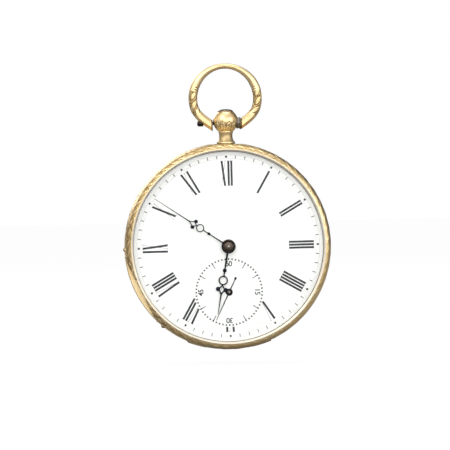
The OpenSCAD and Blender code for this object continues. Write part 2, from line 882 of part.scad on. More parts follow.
module click_spring() {
    color("steelblue") upright() at(barrel_at) rotate(click_nose_angle) layer([2.3, 2.7]) {
        polygon([
            [ratchet_tip + 0.95, -click_arm + 0.2], [ratchet_tip + 1.05, -click_arm + 0.2],
            [ratchet_tip + 1.6, 1.2], [ratchet_tip + 1.48, 1.2],
        ]);
        translate([ratchet_tip + 1.54, 1.6]) circle(r = 0.5);
    }
}

// ---- Going train ----

module centre_arbor() {
    color("silver") upright() difference() {
        union() {
            rod(centre_arbor_r, [bar_back, plate_front + 0.05]);
            layer([5.35, 5.95]) pinion(centre_leaves, barrel_m, barrel_angle);
        }
        hole(setting_arbor_r + 0.03, [bar_back, plate_front + 0.05]);
    }
}

module centre_wheel() {
    color("gold") upright() layer(centre_wheel_z)
        wheel(centre_teeth, centre_m, bearing([0, 0], third_at), centre_arbor_r, 5);
}

// An arbor with a pivot at each end
module arbor(r, levels, pivots) {
    rod(r, levels);
    rod(pivot_r, pivots);
}

module third_pinion() {
    color("silver") upright() at(third_at) {
        arbor(third_arbor_r, [bar_front + gap, plate_back - gap], [bar_back + 0.45, plate_back + 0.45]);
        layer([3.9, 4.9]) pinion(third_leaves, centre_m, bearing(third_at, [0, 0]));
    }
}

module third_wheel() {
    color("gold") upright() at(third_at) layer(third_wheel_z)
        wheel(third_teeth, third_m, bearing(third_at, fourth_at), third_arbor_r, 5);
}

module fourth_pinion() {
    color("silver") upright() at(fourth_at) {
        arbor(fourth_arbor_r, [bar_front + gap, plate_back - gap], [bar_back + 0.45, seconds_z[1] + gap]);
        layer([4.85, 5.45]) pinion(fourth_leaves, third_m, bearing(fourth_at, third_at));
    }
}

module fourth_wheel() {
    color("gold") upright() at(fourth_at) layer(fourth_wheel_z)
        wheel(fourth_teeth, fourth_m, bearing(fourth_at, escape_at), fourth_arbor_r, 5);
}

module escape_pinion() {
    color("silver") upright() at(escape_at) {
        arbor(escape_arbor_r, [4.25, plate_back - 0.05], [3.85, plate_back + 0.45]);
        layer([4.3, 4.9]) pinion(escape_leaves, fourth_m, bearing(escape_at, fourth_at));
    }
}

// Wedge-shaped teeth that stand clear of the balance cylinder
module escape_wheel() {
    count = 15;
    tip = 3.45;
    rim = 2.55;
    pitch = 360 / count;
    color("silver") upright() at(escape_at) layer(escape_wheel_z) {
        difference() {
            polygon([for (i = [0 : count - 1])
                for (corner = [[rim, 0], [tip, 1.5], [tip - 0.28, 12], [rim, 5]])
                    polar(corner[0], i * pitch + corner[1])]);
            circle(r = rim - 0.35);
        }
        difference() {
            union() {
                circle(r = 0.6);
                for (i = [0 : 2]) rotate(120 * i) translate([0, -0.2]) square([rim - 0.2, 0.4]);
            }
            circle(r = escape_arbor_r);
        }
    }
}

// ---- Motion work behind the dial ----

module setting_arbor() {
    side = 1;
    color("silver") upright() {
        translate([-side / 2, -side / 2, 1.5]) cube([side, side, 1.2]);
        rod(setting_arbor_r, [2.6, minute_z[1] + 0.1]);
    }
}

module cannon_pinion() {
    color("silver") upright() difference() {
        union() {
            rod(cannon_r, [plate_front + 0.07, minute_z[1]]);
            layer(cannon_z) pinion(cannon_leaves, motion_m, bearing([0, 0], minute_at));
        }
        hole(setting_arbor_r, [plate_front, minute_z[1]]);
    }
}

module minute_wheel() {
    color("gold") upright() at(minute_at) difference() {
        union() {
            layer(cannon_z) rotate(bearing(minute_at, [0, 0])) teeth(minute_teeth, motion_m, 1, 1.3, 0.42);
            layer([cannon_z[1], 8.08]) pinion(minute_leaves, hour_m, bearing(minute_at, [0, 0]));
        }
        hole(post_r + gap, [cannon_z[0], dial_back]);
    }
}

module hour_wheel() {
    color("gold") upright() difference() {
        union() {
            layer(hour_wheel_z) rotate(bearing([0, 0], minute_at)) teeth(hour_teeth, hour_m, 1, 1.3, 0.42);
            rod(0.6, [hour_wheel_z[0], hour_z[1]]);
        }
        hole(cannon_r + gap, [hour_wheel_z[0], hour_z[1]]);
    }
}

// ---- Balance ----

module balance_wheel() {
    rim = 0.5;
    color("gold") upright() at(balance_at) {
        ring(balance_r, balance_r - rim, balance_z);
        layer([3.05, 3.35]) difference() {
            union() {
                circle(r = 0.9);
                for (i = [0 : 2]) rotate(120 * i) translate([0, -0.35]) square([balance_r - rim / 2, 0.7]);
            }
            circle(r = staff_r);
        }
    }
}

// The staff is a tube, cut away where the escape wheel's teeth pass
module balance_cylinder() {
    shell_r = 0.4;
    bore = 0.3;
    color("silver") upright() at(balance_at) {
        rod(pivot_r, [cock_z[0] + 0.05, plate_back + 0.45]);
        rod(staff_r, [2.25, 4.3]);
        rod(bore, [4.2, 4.9]);
        rod(bore, [6.05, 6.25]);
        difference() {
            ring(shell_r, bore, [4.2, 6.25]);
            translate([0.05, -1, 5.3]) cube([2, 2, 0.75]);
        }
    }
}

module hairspring_collet() {
    color("goldenrod") upright() at(balance_at) ring(0.55, staff_r, [2.64, 2.92]);
}

module hairspring() {
    color("steelblue") upright() at(balance_at) layer(spring_z) rotate(stud_angle)
        spiral(0.75, 3, 9, 0.06, 24);
}

module hairspring_stud() {
    color("steelblue") upright() at(balance_at + polar(stud_r, stud_angle))
        rod(0.23, [cock_z[1] - 0.3, 2.95]);
}

module regulator() {
    levels = [1.62, 1.73];
    pin_angle = stud_angle + 180;
    color("silver") upright() at(balance_at) {
        layer(levels) difference() {
            union() {
                circle(r = 1.8);
                bar([0, 0], polar(3.2, pin_angle), 0.5);
                bar([0, 0], polar(6, stud_angle), 0.4);
            }
            circle(r = 1);
        }
        for (r = [2.8, 3.15]) at(polar(r, pin_angle)) rod(0.06, [levels[0], 2.9]);
    }
}

module endstone_cap() {
    color("steelblue") upright() at(balance_at) {
        rod(1.4, [1.45, 1.6]);
        rod(0.95, [1.55, cock_z[0]]);
    }
}

case_band();
bezel();
glass();
back_cover();
cuvette();
bezel_hinge_pin();
back_hinge_pin();
pendant();
push_piece();
lock_spring();
bow();
bow_screw();
bow_pin();
bow_collar();
case_screws();
dial();
hour_hand();
minute_hand();
minute_hand_boss();
seconds_hand();
main_plate();
barrel_bar();
centre_bar();
third_bar();
fourth_bar();
balance_cock();
escape_cock();
bar_screws();
cock_screws();
train_jewels();
balance_jewels();
barrel();
barrel_cover();
mainspring();
barrel_arbor();
ratchet_wheel();
click();
click_screw();
click_spring();
centre_arbor();
centre_wheel();
setting_arbor();
cannon_pinion();
minute_wheel();
hour_wheel();
third_pinion();
third_wheel();
fourth_pinion();
fourth_wheel();
escape_pinion();
escape_wheel();
balance_wheel();
balance_cylinder();
hairspring_collet();
hairspring();
hairspring_stud();
regulator();
endstone_cap();
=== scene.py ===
import json
import math

import bpy
from mathutils import Matrix, Vector, noise


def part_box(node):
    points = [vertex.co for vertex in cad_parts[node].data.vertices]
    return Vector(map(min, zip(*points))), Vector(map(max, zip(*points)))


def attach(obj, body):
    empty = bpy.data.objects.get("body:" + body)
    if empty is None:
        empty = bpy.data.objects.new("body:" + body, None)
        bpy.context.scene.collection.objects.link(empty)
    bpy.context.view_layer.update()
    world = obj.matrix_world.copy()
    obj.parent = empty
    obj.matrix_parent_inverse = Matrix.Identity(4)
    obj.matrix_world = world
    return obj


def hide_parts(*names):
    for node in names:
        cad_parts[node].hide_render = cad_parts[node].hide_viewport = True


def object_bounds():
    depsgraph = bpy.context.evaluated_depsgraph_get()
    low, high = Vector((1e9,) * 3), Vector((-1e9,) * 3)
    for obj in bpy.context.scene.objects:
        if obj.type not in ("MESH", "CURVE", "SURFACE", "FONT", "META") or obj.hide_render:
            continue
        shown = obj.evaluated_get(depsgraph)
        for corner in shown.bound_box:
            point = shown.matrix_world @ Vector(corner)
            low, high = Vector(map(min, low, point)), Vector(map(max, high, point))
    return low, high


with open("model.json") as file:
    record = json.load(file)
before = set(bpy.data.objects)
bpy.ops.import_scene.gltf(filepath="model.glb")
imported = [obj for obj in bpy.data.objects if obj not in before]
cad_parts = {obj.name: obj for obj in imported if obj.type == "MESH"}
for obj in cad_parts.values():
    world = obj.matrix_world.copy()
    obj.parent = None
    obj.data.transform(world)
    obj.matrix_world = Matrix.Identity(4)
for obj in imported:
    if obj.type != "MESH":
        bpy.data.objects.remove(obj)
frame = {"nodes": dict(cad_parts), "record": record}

cad_low, cad_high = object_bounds()

# The watch is described lying on its back: x to three o'clock, y to twelve, z out of the dial, in
# millimetres. place() stands it up in the frame's metres.
MM = 0.001


def place(x, y, z):
    return Vector((x, -z, y)) * MM


def span(node, axis):
    """Lowest and highest x, y or z of a CAD node, in the watch's own millimetres."""
    low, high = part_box(node)
    if axis == "x":
        return low[0] / MM, high[0] / MM
    if axis == "y":
        return low[2] / MM, high[2] / MM
    return -high[1] / MM, -low[1] / MM


def middle(node, axis):
    return sum(span(node, axis)) / 2


def joint(name):
    return next(j for j in frame["record"]["behaviour"]["joints"] if j["name"] == name)


DIAL_R = span("dial", "x")[1]
DIAL_FRONT = span("dial", "z")[1]
CASE_R_MID = 21.0  # outer radius half-way up the case middle
BAND_BACK = span("case_band", "z")[0] + 0.6
BAND_FRONT = span("dial", "z")[1] - 0.9
BEZEL_R = span("bezel", "x")[1]
BEZEL_TOP = span("bezel", "z")[1]
GLASS_TOP = span("glass", "z")[1]
BALL_TOP = span("pendant", "y")[1]
BALL_R = span("pendant", "x")[1]
BALL_Y = BALL_TOP - 2
PENDANT_FOOT = 20.7
MID_Z = middle("pendant", "z")
BOW_TOP = span("bow", "y")[1]
SECONDS_Y = middle("fourth_wheel", "y")
HOUR_Z = span("hour_hand", "z")
MINUTE_Z = span("minute_hand", "z")
SECONDS_Z = span("seconds_hand", "z")
PIVOT_Y = joint("bow_swing")["pos_m"][2] / MM
HINGE = Vector(joint("bezel_hinge")["pos_m"]) / MM
HINGE_U = math.hypot(HINGE.x, HINGE.z)
HINGE_TURN = math.atan2(HINGE.z, HINGE.x)
HINGE_Z = -HINGE.y
HINGE_HALF = 7.4
KNUCKLE_R = 0.6
STRAIGHT_U = HINGE_U + KNUCKLE_R + 0.05


DIAL_TURN = -0.5   # the dial is fitted slightly anticlockwise in its case, in degrees


def clock(r, degrees):
    """x, y of a point at a radius and an angle clockwise from twelve."""
    a = math.radians(degrees)
    return r * math.sin(a), r * math.cos(a)


def clamp(v, low=0.0, high=1.0):
    return max(low, min(high, v))


def smooth(v):
    v = clamp(v)
    return v * v * (3 - 2 * v)


# ---------------------------------------------------------------- materials

def new_material(name, **settings):
    """A Principled material with its node tree: (material, nodes, link, shader)."""
    made = bpy.data.materials.new(name)
    made.use_nodes = True
    tree = made.node_tree
    shader = tree.nodes["Principled BSDF"]
    for key, value in settings.items():
        shader.inputs[key.replace("_", " ")].default_value = value
    return made, tree.nodes, tree.links.new, shader


def feed(link, value, socket):
    """Links a value that comes from a node, and sets one that doesn't."""
    if hasattr(value, "links"):
        link(value, socket)
    elif isinstance(value, tuple):
        socket.default_value = (*value, 1)
    else:
        socket.default_value = value


def ramp(nodes, link, factor, stops):
    """The colour a factor picks from a row of stops, each a place and a colour or one grey value."""
    made = nodes.new("ShaderNodeValToRGB")
    elements = made.color_ramp.elements
    while len(elements) < len(stops):
        elements.new(0.5)
    for element, (at, colour) in zip(elements, stops):
        element.position = at
        element.color = (*colour, 1) if isinstance(colour, tuple) else (colour, colour, colour, 1)
    link(factor, made.inputs["Fac"])
    return made.outputs["Color"]


def noise_value(nodes, link, scale, detail=4.0, rough=0.55, stretch=(1, 1, 1)):
    """Noise over the object's own coordinates; scale is in features per metre."""
    coords = nodes.new("ShaderNodeTexCoord")
    mapping = nodes.new("ShaderNodeMapping")
    mapping.inputs["Scale"].default_value = stretch
    made = nodes.new("ShaderNodeTexNoise")
    made.inputs["Scale"].default_value = scale
    made.inputs["Detail"].default_value = detail
    made.inputs["Roughness"].default_value = rough
    link(coords.outputs["Object"], mapping.inputs["Vector"])
    link(mapping.outputs["Vector"], made.inputs["Vector"])
    return made.outputs["Fac"]


def arithmetic(nodes, link, kind, *values):
    made = nodes.new("ShaderNodeMath")
    made.operation = kind
    for socket, value in zip(made.inputs, values):
        feed(link, value, socket)
    return made.outputs["Value"]


def bump(nodes, link, shader, height, strength, distance):
    made = nodes.new("ShaderNodeBump")
    made.inputs["Strength"].default_value = strength
    made.inputs["Distance"].default_value = distance
    link(height, made.inputs["Height"])
    link(made.outputs["Normal"], shader.inputs["Normal"])


def mix_colour(nodes, link, kind, factor, a, b):
    made = nodes.new("ShaderNodeMix")
    made.data_type = "RGBA"
    made.blend_type = kind
    for socket, value in (("Factor", factor), ("A", a), ("B", b)):
        # a Mix node has a socket of each name for every type it can mix, and only the colour's are enabled
        feed(link, value, [s for s in made.inputs if s.name == socket and s.enabled][0])
    return [s for s in made.outputs if s.enabled][0]


def metal(name, tones, roughness, grain=2200, grain_depth=0.004, scratch=0.3, tarnish_and_shade=None, chased=False):
    """Metal with cloudy tone, uneven polish, fine handling scratches and tarnish spots; when chased, points
    marked low take the dark colour, tarnish in a chased ground and painted shade where a piece marks shade.
    """
    made, nodes, link, shader = new_material(name, Metallic=1.0)
    colour = ramp(nodes, link, noise_value(nodes, link, 160, detail=5),
                  [(0.25, tones[0]), (0.5, tones[1]), (0.75, tones[2])])
    rough = ramp(nodes, link, noise_value(nodes, link, 700, detail=6, rough=0.7),
                 [(0.3, roughness[0]), (0.7, roughness[1])])
    if tarnish_and_shade:
        spots = ramp(nodes, link, noise_value(nodes, link, 420, detail=7, rough=0.65),
                     [(0.58, 0.0), (0.80, 0.45)])
        colour = mix_colour(nodes, link, "MIX", spots, colour, tarnish_and_shade)
    if chased:
        # painted shade and tarnish: points marked low take the dark colour, tarnish in chased hollows and
        # painted shade on lips, neck, foot, ring and hinge ends
        relief_and_shade = nodes.new("ShaderNodeAttribute")
        relief_and_shade.attribute_name = "relief_and_shade"
        ground = ramp(nodes, link, relief_and_shade.outputs["Fac"], [(0.0, 0.95), (0.32, 0.78), (0.74, 0.0)])
        colour = mix_colour(nodes, link, "MIX", ground, colour, tarnish_and_shade)
        rough = mix_colour(nodes, link, "MIX", ground, rough, (0.55, 0.55, 0.55))
    link(colour, shader.inputs["Base Color"])
    link(rough, shader.inputs["Roughness"])
    fine = noise_value(nodes, link, grain, detail=2, rough=0.5)
    lines = noise_value(nodes, link, grain * 2, detail=1, stretch=(1, 6, 0.6))
    height = arithmetic(nodes, link, "MULTIPLY_ADD", lines, scratch, fine)
    bump(nodes, link, shader, height, 0.5, grain_depth * MM)
    return made


GOLD = ((0.65, 0.46, 0.21), (0.76, 0.58, 0.31), (0.87, 0.71, 0.43))
# dark colour of tarnish spots and chased hollows, and of the painted shade on chased pieces
TARNISH_AND_SHADE = (0.15, 0.085, 0.02)


def enamel(name):
    """White vitreous enamel: faint warm clouding, tiny pits, a glassy skin and a faint painted glow that
    lifts the shade near the bezel.
    """
    # painted light: the enamel glows faintly white to lift the shade the bezel casts on it
    made, nodes, link, shader = new_material(name, Roughness=0.16, Coat_Weight=0.35, Coat_Roughness=0.05,
                                             Emission_Strength=0.07)
    shader.inputs["Emission Color"].default_value = (1, 1, 1, 1)
    tone = ramp(nodes, link, noise_value(nodes, link, 130),
                [(0.3, (0.945, 0.94, 0.935)), (0.7, (0.985, 0.98, 0.975))])
    specks = ramp(nodes, link, noise_value(nodes, link, 2600, detail=2), [(0.70, 0.0), (0.78, 0.30)])
    link(mix_colour(nodes, link, "MIX", specks, tone, (0.55, 0.52, 0.47)), shader.inputs["Base Color"])
    bump(nodes, link, shader, noise_value(nodes, link, 900, detail=3), 0.25, 0.006 * MM)
    return made


def ink(name, dark, light):
    """Fired black paint, a little thin in places."""
    made, nodes, link, shader = new_material(name, Roughness=0.35)
    thin = noise_value(nodes, link, 2200, detail=5)
    link(ramp(nodes, link, thin, [(0.3, dark), (0.75, light)]), shader.inputs["Base Color"])
    bump(nodes, link, shader, thin, 0.3, 0.004 * MM)
    return made


def crystal_glass(name):
    """Thin watch glass: clear, with a weak reflection and a few faint scuffs."""
    made, nodes, link, shader = new_material(name)
    nodes.remove(shader)
    clear = nodes.new("ShaderNodeBsdfTransparent")
    clear.inputs["Color"].default_value = (0.985, 0.99, 0.985, 1)
    shine = nodes.new("ShaderNodeBsdfGlossy")
    shine.inputs["Color"].default_value = (1, 1, 1, 1)
    scuff = noise_value(nodes, link, 900, detail=6, stretch=(1, 1, 6))
    link(ramp(nodes, link, scuff, [(0.45, 0.02), (0.8, 0.12)]), shine.inputs["Roughness"])
    edge = nodes.new("ShaderNodeLayerWeight")
    edge.inputs["Blend"].default_value = 0.12
    blend = nodes.new("ShaderNodeMixShader")
    link(arithmetic(nodes, link, "MULTIPLY", edge.outputs["Fresnel"], 0.35), blend.inputs["Fac"])
    link(clear.outputs["BSDF"], blend.inputs[1])
    link(shine.outputs["BSDF"], blend.inputs[2])
    link(blend.outputs["Shader"], nodes["Material Output"].inputs["Surface"])
    return made


def ruby(name):
    made, nodes, link, shader = new_material(name, Roughness=0.08, Transmission_Weight=0.5, IOR=1.76)
    cloud = noise_value(nodes, link, 1500)
    tone = ramp(nodes, link, cloud, [(0.3, (0.35, 0.008, 0.03)), (0.7, (0.75, 0.03, 0.09))])
    link(tone, shader.inputs["Base Color"])
    bump(nodes, link, shader, cloud, 0.2, 0.003 * MM)
    return made


MATERIALS = {
    "gold": metal("case_gold", GOLD, (0.14, 0.30), tarnish_and_shade=TARNISH_AND_SHADE),
    "chased": metal("chased_gold", GOLD, (0.24, 0.42), tarnish_and_shade=TARNISH_AND_SHADE, chased=True),
    "gilt": metal(
        "grained_gilding", ((0.66, 0.43, 0.16), (0.74, 0.51, 0.22), (0.80, 0.58, 0.27)), (0.38, 0.52),
        grain=9000, grain_depth=0.006, scratch=0.1, tarnish_and_shade=(0.30, 0.16, 0.05)),
    "brass": metal("wheel_brass", ((0.72, 0.50, 0.20), (0.80, 0.58, 0.25), (0.86, 0.65, 0.30)), (0.20, 0.34)),
    "steel": metal(
        "polished_steel", ((0.42, 0.42, 0.43), (0.52, 0.52, 0.53), (0.60, 0.60, 0.60)), (0.16, 0.32)),
    "old_steel": metal(
        "blackened_old_steel", ((0.06, 0.055, 0.045), (0.17, 0.155, 0.13), (0.36, 0.34, 0.30)), (0.28, 0.5),
        tarnish_and_shade=(0.03, 0.025, 0.02)),
    "dark_steel": metal(
        "darkened_steel", ((0.010, 0.009, 0.009), (0.022, 0.018, 0.016), (0.05, 0.038, 0.03)), (0.22, 0.42)),
    "hand_steel": metal(
        "blued_hand_steel", ((0.006, 0.007, 0.010), (0.010, 0.012, 0.018), (0.02, 0.022, 0.035)),
        (0.25, 0.42)),
    "cap_face": metal(
        "brown_cap_face", ((0.05, 0.036, 0.028), (0.10, 0.075, 0.06), (0.20, 0.15, 0.12)), (0.3, 0.5)),
    "blued": metal(
        "blued_spring_steel", ((0.015, 0.03, 0.12), (0.03, 0.055, 0.20), (0.06, 0.09, 0.28)), (0.18, 0.32)),
    # painted shadow: a dark ring for the shade in the gap between the dial and the bezel
    "gap_painted_shadow": metal(
        "dull_gap_painted_shadow", ((0.10, 0.09, 0.085), (0.15, 0.14, 0.13), (0.22, 0.20, 0.19)), (0.5, 0.7)),
    "enamel": enamel("white_enamel"),
    "ink": ink("slate_black_ink", (0.010, 0.010, 0.014), (0.045, 0.045, 0.06)),
    "fine_ink": ink("thin_grey_ink", (0.20, 0.19, 0.20), (0.50, 0.48, 0.49)),
    "tick_ink": ink("grey_tick_ink", (0.05, 0.05, 0.055), (0.16, 0.15, 0.16)),
    "crack": ink("hairline_crack", (0.32, 0.22, 0.16), (0.62, 0.52, 0.45)),
    # painted reflection: the crystal's bevel gets a pale diffuse colour that stands for the bright reflection
    # on the bezel's inner edge
    "bevel": ink("bevel_painted_reflection", (0.80, 0.78, 0.74), (0.94, 0.93, 0.91)),
    "glass": crystal_glass("watch_crystal"),
    "ruby": ruby("ruby_jewel"),
}


# ---------------------------------------------------------------- mesh aids

class Shape:
    """Vertices in the watch's millimetres, faces, and each vertex's mark for the chased gold: the height of
    its chasing, and on some pieces painted shade.

    A point is (x, y, z), or (x, y, z, mark) where the gold is chased and where painted shade darkens it.
    """

    def __init__(self):
        self.verts, self.faces, self.relief_and_shade = [], [], []

    def add(self, points, faces):
        base = len(self.verts)
        self.verts += [tuple(p[:3]) for p in points]
        self.relief_and_shade += [p[3] if len(p) > 3 else 1.0 for p in points]
        self.faces += [tuple(base + i for i in face) for face in faces]
        return self

    def grid(self, rows):
        """Joins equal rows of points, each a closed loop, into a skin, and shuts the first and last."""
        width, last = len(rows[0]), (len(rows) - 1) * len(rows[0])
        faces = [
            (i * width + j, i * width + (j + 1) % width,
             (i + 1) * width + (j + 1) % width, (i + 1) * width + j)
            for i in range(len(rows) - 1) for j in range(width)
        ]
        faces += [tuple(reversed(range(width))), tuple(range(last, last + width))]
        return self.add([p for row in rows for p in row], faces)

    def ring_of_rows(self, rows):
        """As grid, with the last row joined to the first."""
        width, count = len(rows[0]), len(rows)
        faces = [
            (i * width + j, i * width + (j + 1) % width,
             (i + 1) % count * width + (j + 1) % width, (i + 1) % count * width + j)
            for i in range(count) for j in range(width)
        ]
        return self.add([p for row in rows for p in row], faces)


def turn_angles(steps):
    """Equal steps of a full turn, in radians."""
    return [2 * math.pi * i / steps for i in range(steps)]


def piece(name, shape, body, material, replaces=(), sharp=35):
    """Makes a mesh object of a Shape, in the frame's metres, riding on a body."""
    mesh = bpy.data.meshes.new(name)
    mesh.from_pydata([place(*v) for v in shape.verts], [], shape.faces)
    mesh.update()
    # the point marks carry chasing height and painted shade to the chased material
    relief_and_shade = mesh.attributes.new("relief_and_shade", "FLOAT", "POINT")
    relief_and_shade.data.foreach_set("value", shape.relief_and_shade)
    made = bpy.data.objects.new(name, mesh)
    bpy.context.scene.collection.objects.link(made)
    mesh.materials.append(MATERIALS[material])
    bpy.context.view_layer.objects.active = made
    made.select_set(True)
    bpy.ops.object.mode_set(mode="EDIT")
    bpy.ops.mesh.select_all(action="SELECT")
    bpy.ops.mesh.normals_make_consistent(inside=False)
    bpy.ops.object.mode_set(mode="OBJECT")
    made.select_set(False)
    mesh.shade_smooth()
    mesh.set_sharp_from_angle(angle=math.radians(sharp))
    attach(made, body)
    if replaces:
        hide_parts(*replaces)
    return made


def revolve(profile, steps):
    """Turns (r, z) points about the watch's depth axis: rows of points, one per step of angle."""
    return [[(r * math.cos(a), r * math.sin(a), z) for r, z in profile] for a in turn_angles(steps)]


def turned(profile, steps, axis="z", at=(0, 0, 0)):
    """A Shape turned about an axis through at, from a profile of (r, along) points that ends on the axis."""
    rows = []
    for r, along in profile:
        row = []
        for a in turn_angles(steps):
            c, s = r * math.cos(a), r * math.sin(a)
            offset = {"z": (c, s, along), "y": (s, along, c), "x": (along, c, s)}[axis]
            row.append(tuple(p + q for p, q in zip(at, offset)))
        rows.append(row)
    return Shape().grid(rows)


def bar_shape(shape, a, b, half_a, half_b, levels, ridge=0.6):
    """A tapered bar with a flat-topped roof section, from a to b (x, y), as on a polished hand."""
    ax, ay = a
    bx, by = b
    length = math.hypot(bx - ax, by - ay)
    nx, ny = -(by - ay) / length, (bx - ax) / length
    low, high = levels
    shoulder = low + ridge * (high - low)
    rows = []
    for (x, y), half in ((a, half_a), (b, half_b)):
        section = [(-half, low), (half, low), (half, shoulder), (0.45 * half, high), (-0.45 * half, high),
                   (-half, shoulder)]
        rows.append([(x + nx * w, y + ny * w, z) for w, z in section])
    return shape.grid(rows)


def ring_shape(shape, centre, r, line, levels, steps=48):
    """A flat ring with rounded edges."""
    low, high = levels
    mid, half = (low + high) / 2, (high - low) / 2
    rows = []
    for a in turn_angles(steps):
        section = [(r + line * math.cos(b), mid + half * math.sin(b)) for b in turn_angles(10)]
        rows.append([(centre[0] + rr * math.cos(a), centre[1] + rr * math.sin(a), z) for rr, z in section])
    return shape.ring_of_rows(rows)


def bead_shape(shape, centre, rx, ry, levels, steps=24):
    """A flattened bead."""
    low, high = levels
    mid, half = (low + high) / 2, (high - low) / 2
    rows = []
    for k in range(1, 10):
        b = math.pi * k / 10 - math.pi / 2
        rows.append([(centre[0] + rx * math.cos(b) * math.cos(a), centre[1] + ry * math.cos(b) * math.sin(a),
                      mid + half * math.sin(b)) for a in turn_angles(steps)])
    return shape.grid(rows)


def prism(shape, outline, low, high):
    """A flat outline between two levels."""
    n = len(outline)
    verts = [(x, y, low) for x, y in outline] + [(x, y, high) for x, y in outline]
    faces = [tuple(reversed(range(n))), tuple(range(n, 2 * n))]
    faces += [(i, (i + 1) % n, n + (i + 1) % n, n + i) for i in range(n)]
    return shape.add(verts, faces)


def band_prism(shape, r_in, r_out, low, high, centre=(0, 0), steps=360, start=0.0, turn=360.0):
    """A thin flat ring, or a sector of one from start, in degrees clockwise from twelve."""
    whole = turn >= 360
    rows = []
    for i in range(steps if whole else steps + 1):
        a = start + turn * i / steps
        row = []
        for r, z in ((r_in, low), (r_out, low), (r_out, high), (r_in, high)):
            x, y = clock(r, a)
            row.append((centre[0] + x, centre[1] + y, z))
        rows.append(row)
    return shape.ring_of_rows(rows) if whole else shape.grid(rows)


# ---------------------------------------------------------------- chased foliage

# Leaves of the running scroll in a cell 1 long and 1 wide: centre, half-axes, turn
LEAF = [
    (0.22, 0.50, 0.30, 0.15, 0.55), (0.68, 0.46, 0.30, 0.15, 0.55), (0.46, 0.14, 0.17, 0.08, 0.15),
    (0.92, 0.84, 0.17, 0.08, 0.15), (0.45, 0.86, 0.12, 0.08, -0.5), (0.95, 0.16, 0.12, 0.08, -0.5),
]
GROUND = 0.55   # height of the ground between the leaves


def foliage(s, t, cell, width):
    """Height from 0 to 1 of the chased scroll at s millimetres along a band and t from 0 to 1 across it."""
    number = math.floor(s / cell)
    u = s / cell - number
    stretch = cell / width
    height = GROUND
    for shift in (-1, 0, 1):
        grow = 1 + 0.22 * math.sin(2.4 * (number + shift))
        for x, y, a, b, turn in LEAF:
            dx, dy = (u - shift - x) * stretch, t - y
            c, sn = math.cos(turn * grow), math.sin(turn * grow)
            p, q = (c * dx + sn * dy) / (a * stretch * grow), (c * dy - sn * dx) / b
            d = math.sqrt(p * p + q * q)
            if d < 1:
                vein = 0.35 * math.exp(-(q / 0.14) ** 2) * (1 - p * p)
                height = 0.62 + 0.38 * math.sqrt(1 - d * d) - vein
            elif d < 1.45 and height <= GROUND:
                # the cut that outlines a leaf, deepest at its edge
                height = min(height, GROUND * (d - 1) / 0.45)
    return clamp(height)


def chasing_strength(degrees):
    """How crisp the chasing still is around the case: sharp at the top and left, worn at the lower right."""
    a = (degrees - 300) % 360
    away = min(a, 360 - a) / 180
    return 0.25 + 0.75 * smooth(1.35 - 1.25 * away)


# ---------------------------------------------------------------- bezel and crystal

def hinge_clamp(x, y, z):
    """Cuts the outline straight along the bezel's hinge."""
    c, s = math.cos(HINGE_TURN), math.sin(HINGE_TURN)
    u, v = c * x + s * y, c * y - s * x
    u = min(u, STRAIGHT_U)
    return c * u - s * v, s * u + c * v, z


BEZEL_CELL = 2 * math.pi * BEZEL_R / 30
BEZEL_CUT = 0.17                    # depth of its chasing
CREST_WIDE, CREST_HIGH = 1.05, 1.8  # half-axes of its rounded section
LIP_PAINTED_SHADE = 0.4                    # how dark painted shade makes its plain inner lip; lower is darker
KNUCKLE_GAP = 0.05
# Bold cuts of the scrolls beside the hinge, each from and to a clock angle and share of the way to the crest
SCROLL_CUTS = (
    ((267.0, -0.1), (258.5, 0.95)), ((263.5, -0.1), (256.5, 0.55)), ((255.5, 0.35), (250.0, 1.0)),
    ((234.0, 0.3), (228.5, 0.95)), ((230.5, -0.1), (223.0, 0.8)), ((224.5, -0.1), (218.5, 0.4)),
    ((284.0, 0.3), (279.5, 0.9)), ((277.0, 0.6), (275.0, 0.95)),
)


def scroll_cut(degrees, share):
    """How deep, from 0 to 1, the bezel is cut at a clock angle and a share of the way in to its crest."""
    deepest = 0.0
    for (from_turn, from_share), (to_turn, to_share) in SCROLL_CUTS:
        w = (from_turn - degrees) / (from_turn - to_turn)
        if 0 < w < 1:
            line = from_share + (to_share - from_share) * smooth(w)
            deepest = max(deepest, math.exp(-((share - line) / 0.15) ** 2) * math.sin(math.pi * w) ** 0.4)
    return deepest


def bezel_relief(degrees, phi):
    """Height from 0 to 1 of the bezel's chasing at a clock angle and an angle up its section."""
    c, s = math.cos(math.radians(phi)), math.sin(math.radians(phi))
    share = 1 - c if phi > 0 else -0.2
    t = (0.3 * phi / 90 + 0.7 * share) / 1.02
    h = 1.0
    if 0 < t < 1:
        edge = smooth(8 * t) * smooth(8 * (1 - t))
        leaf = foliage(math.radians(degrees) * BEZEL_R, t, BEZEL_CELL, 2.0)
        h = 1 - chasing_strength(degrees) * edge * (1 - leaf)
    return min(h, 1 - scroll_cut(degrees, share if phi < 90 else 2 - s))


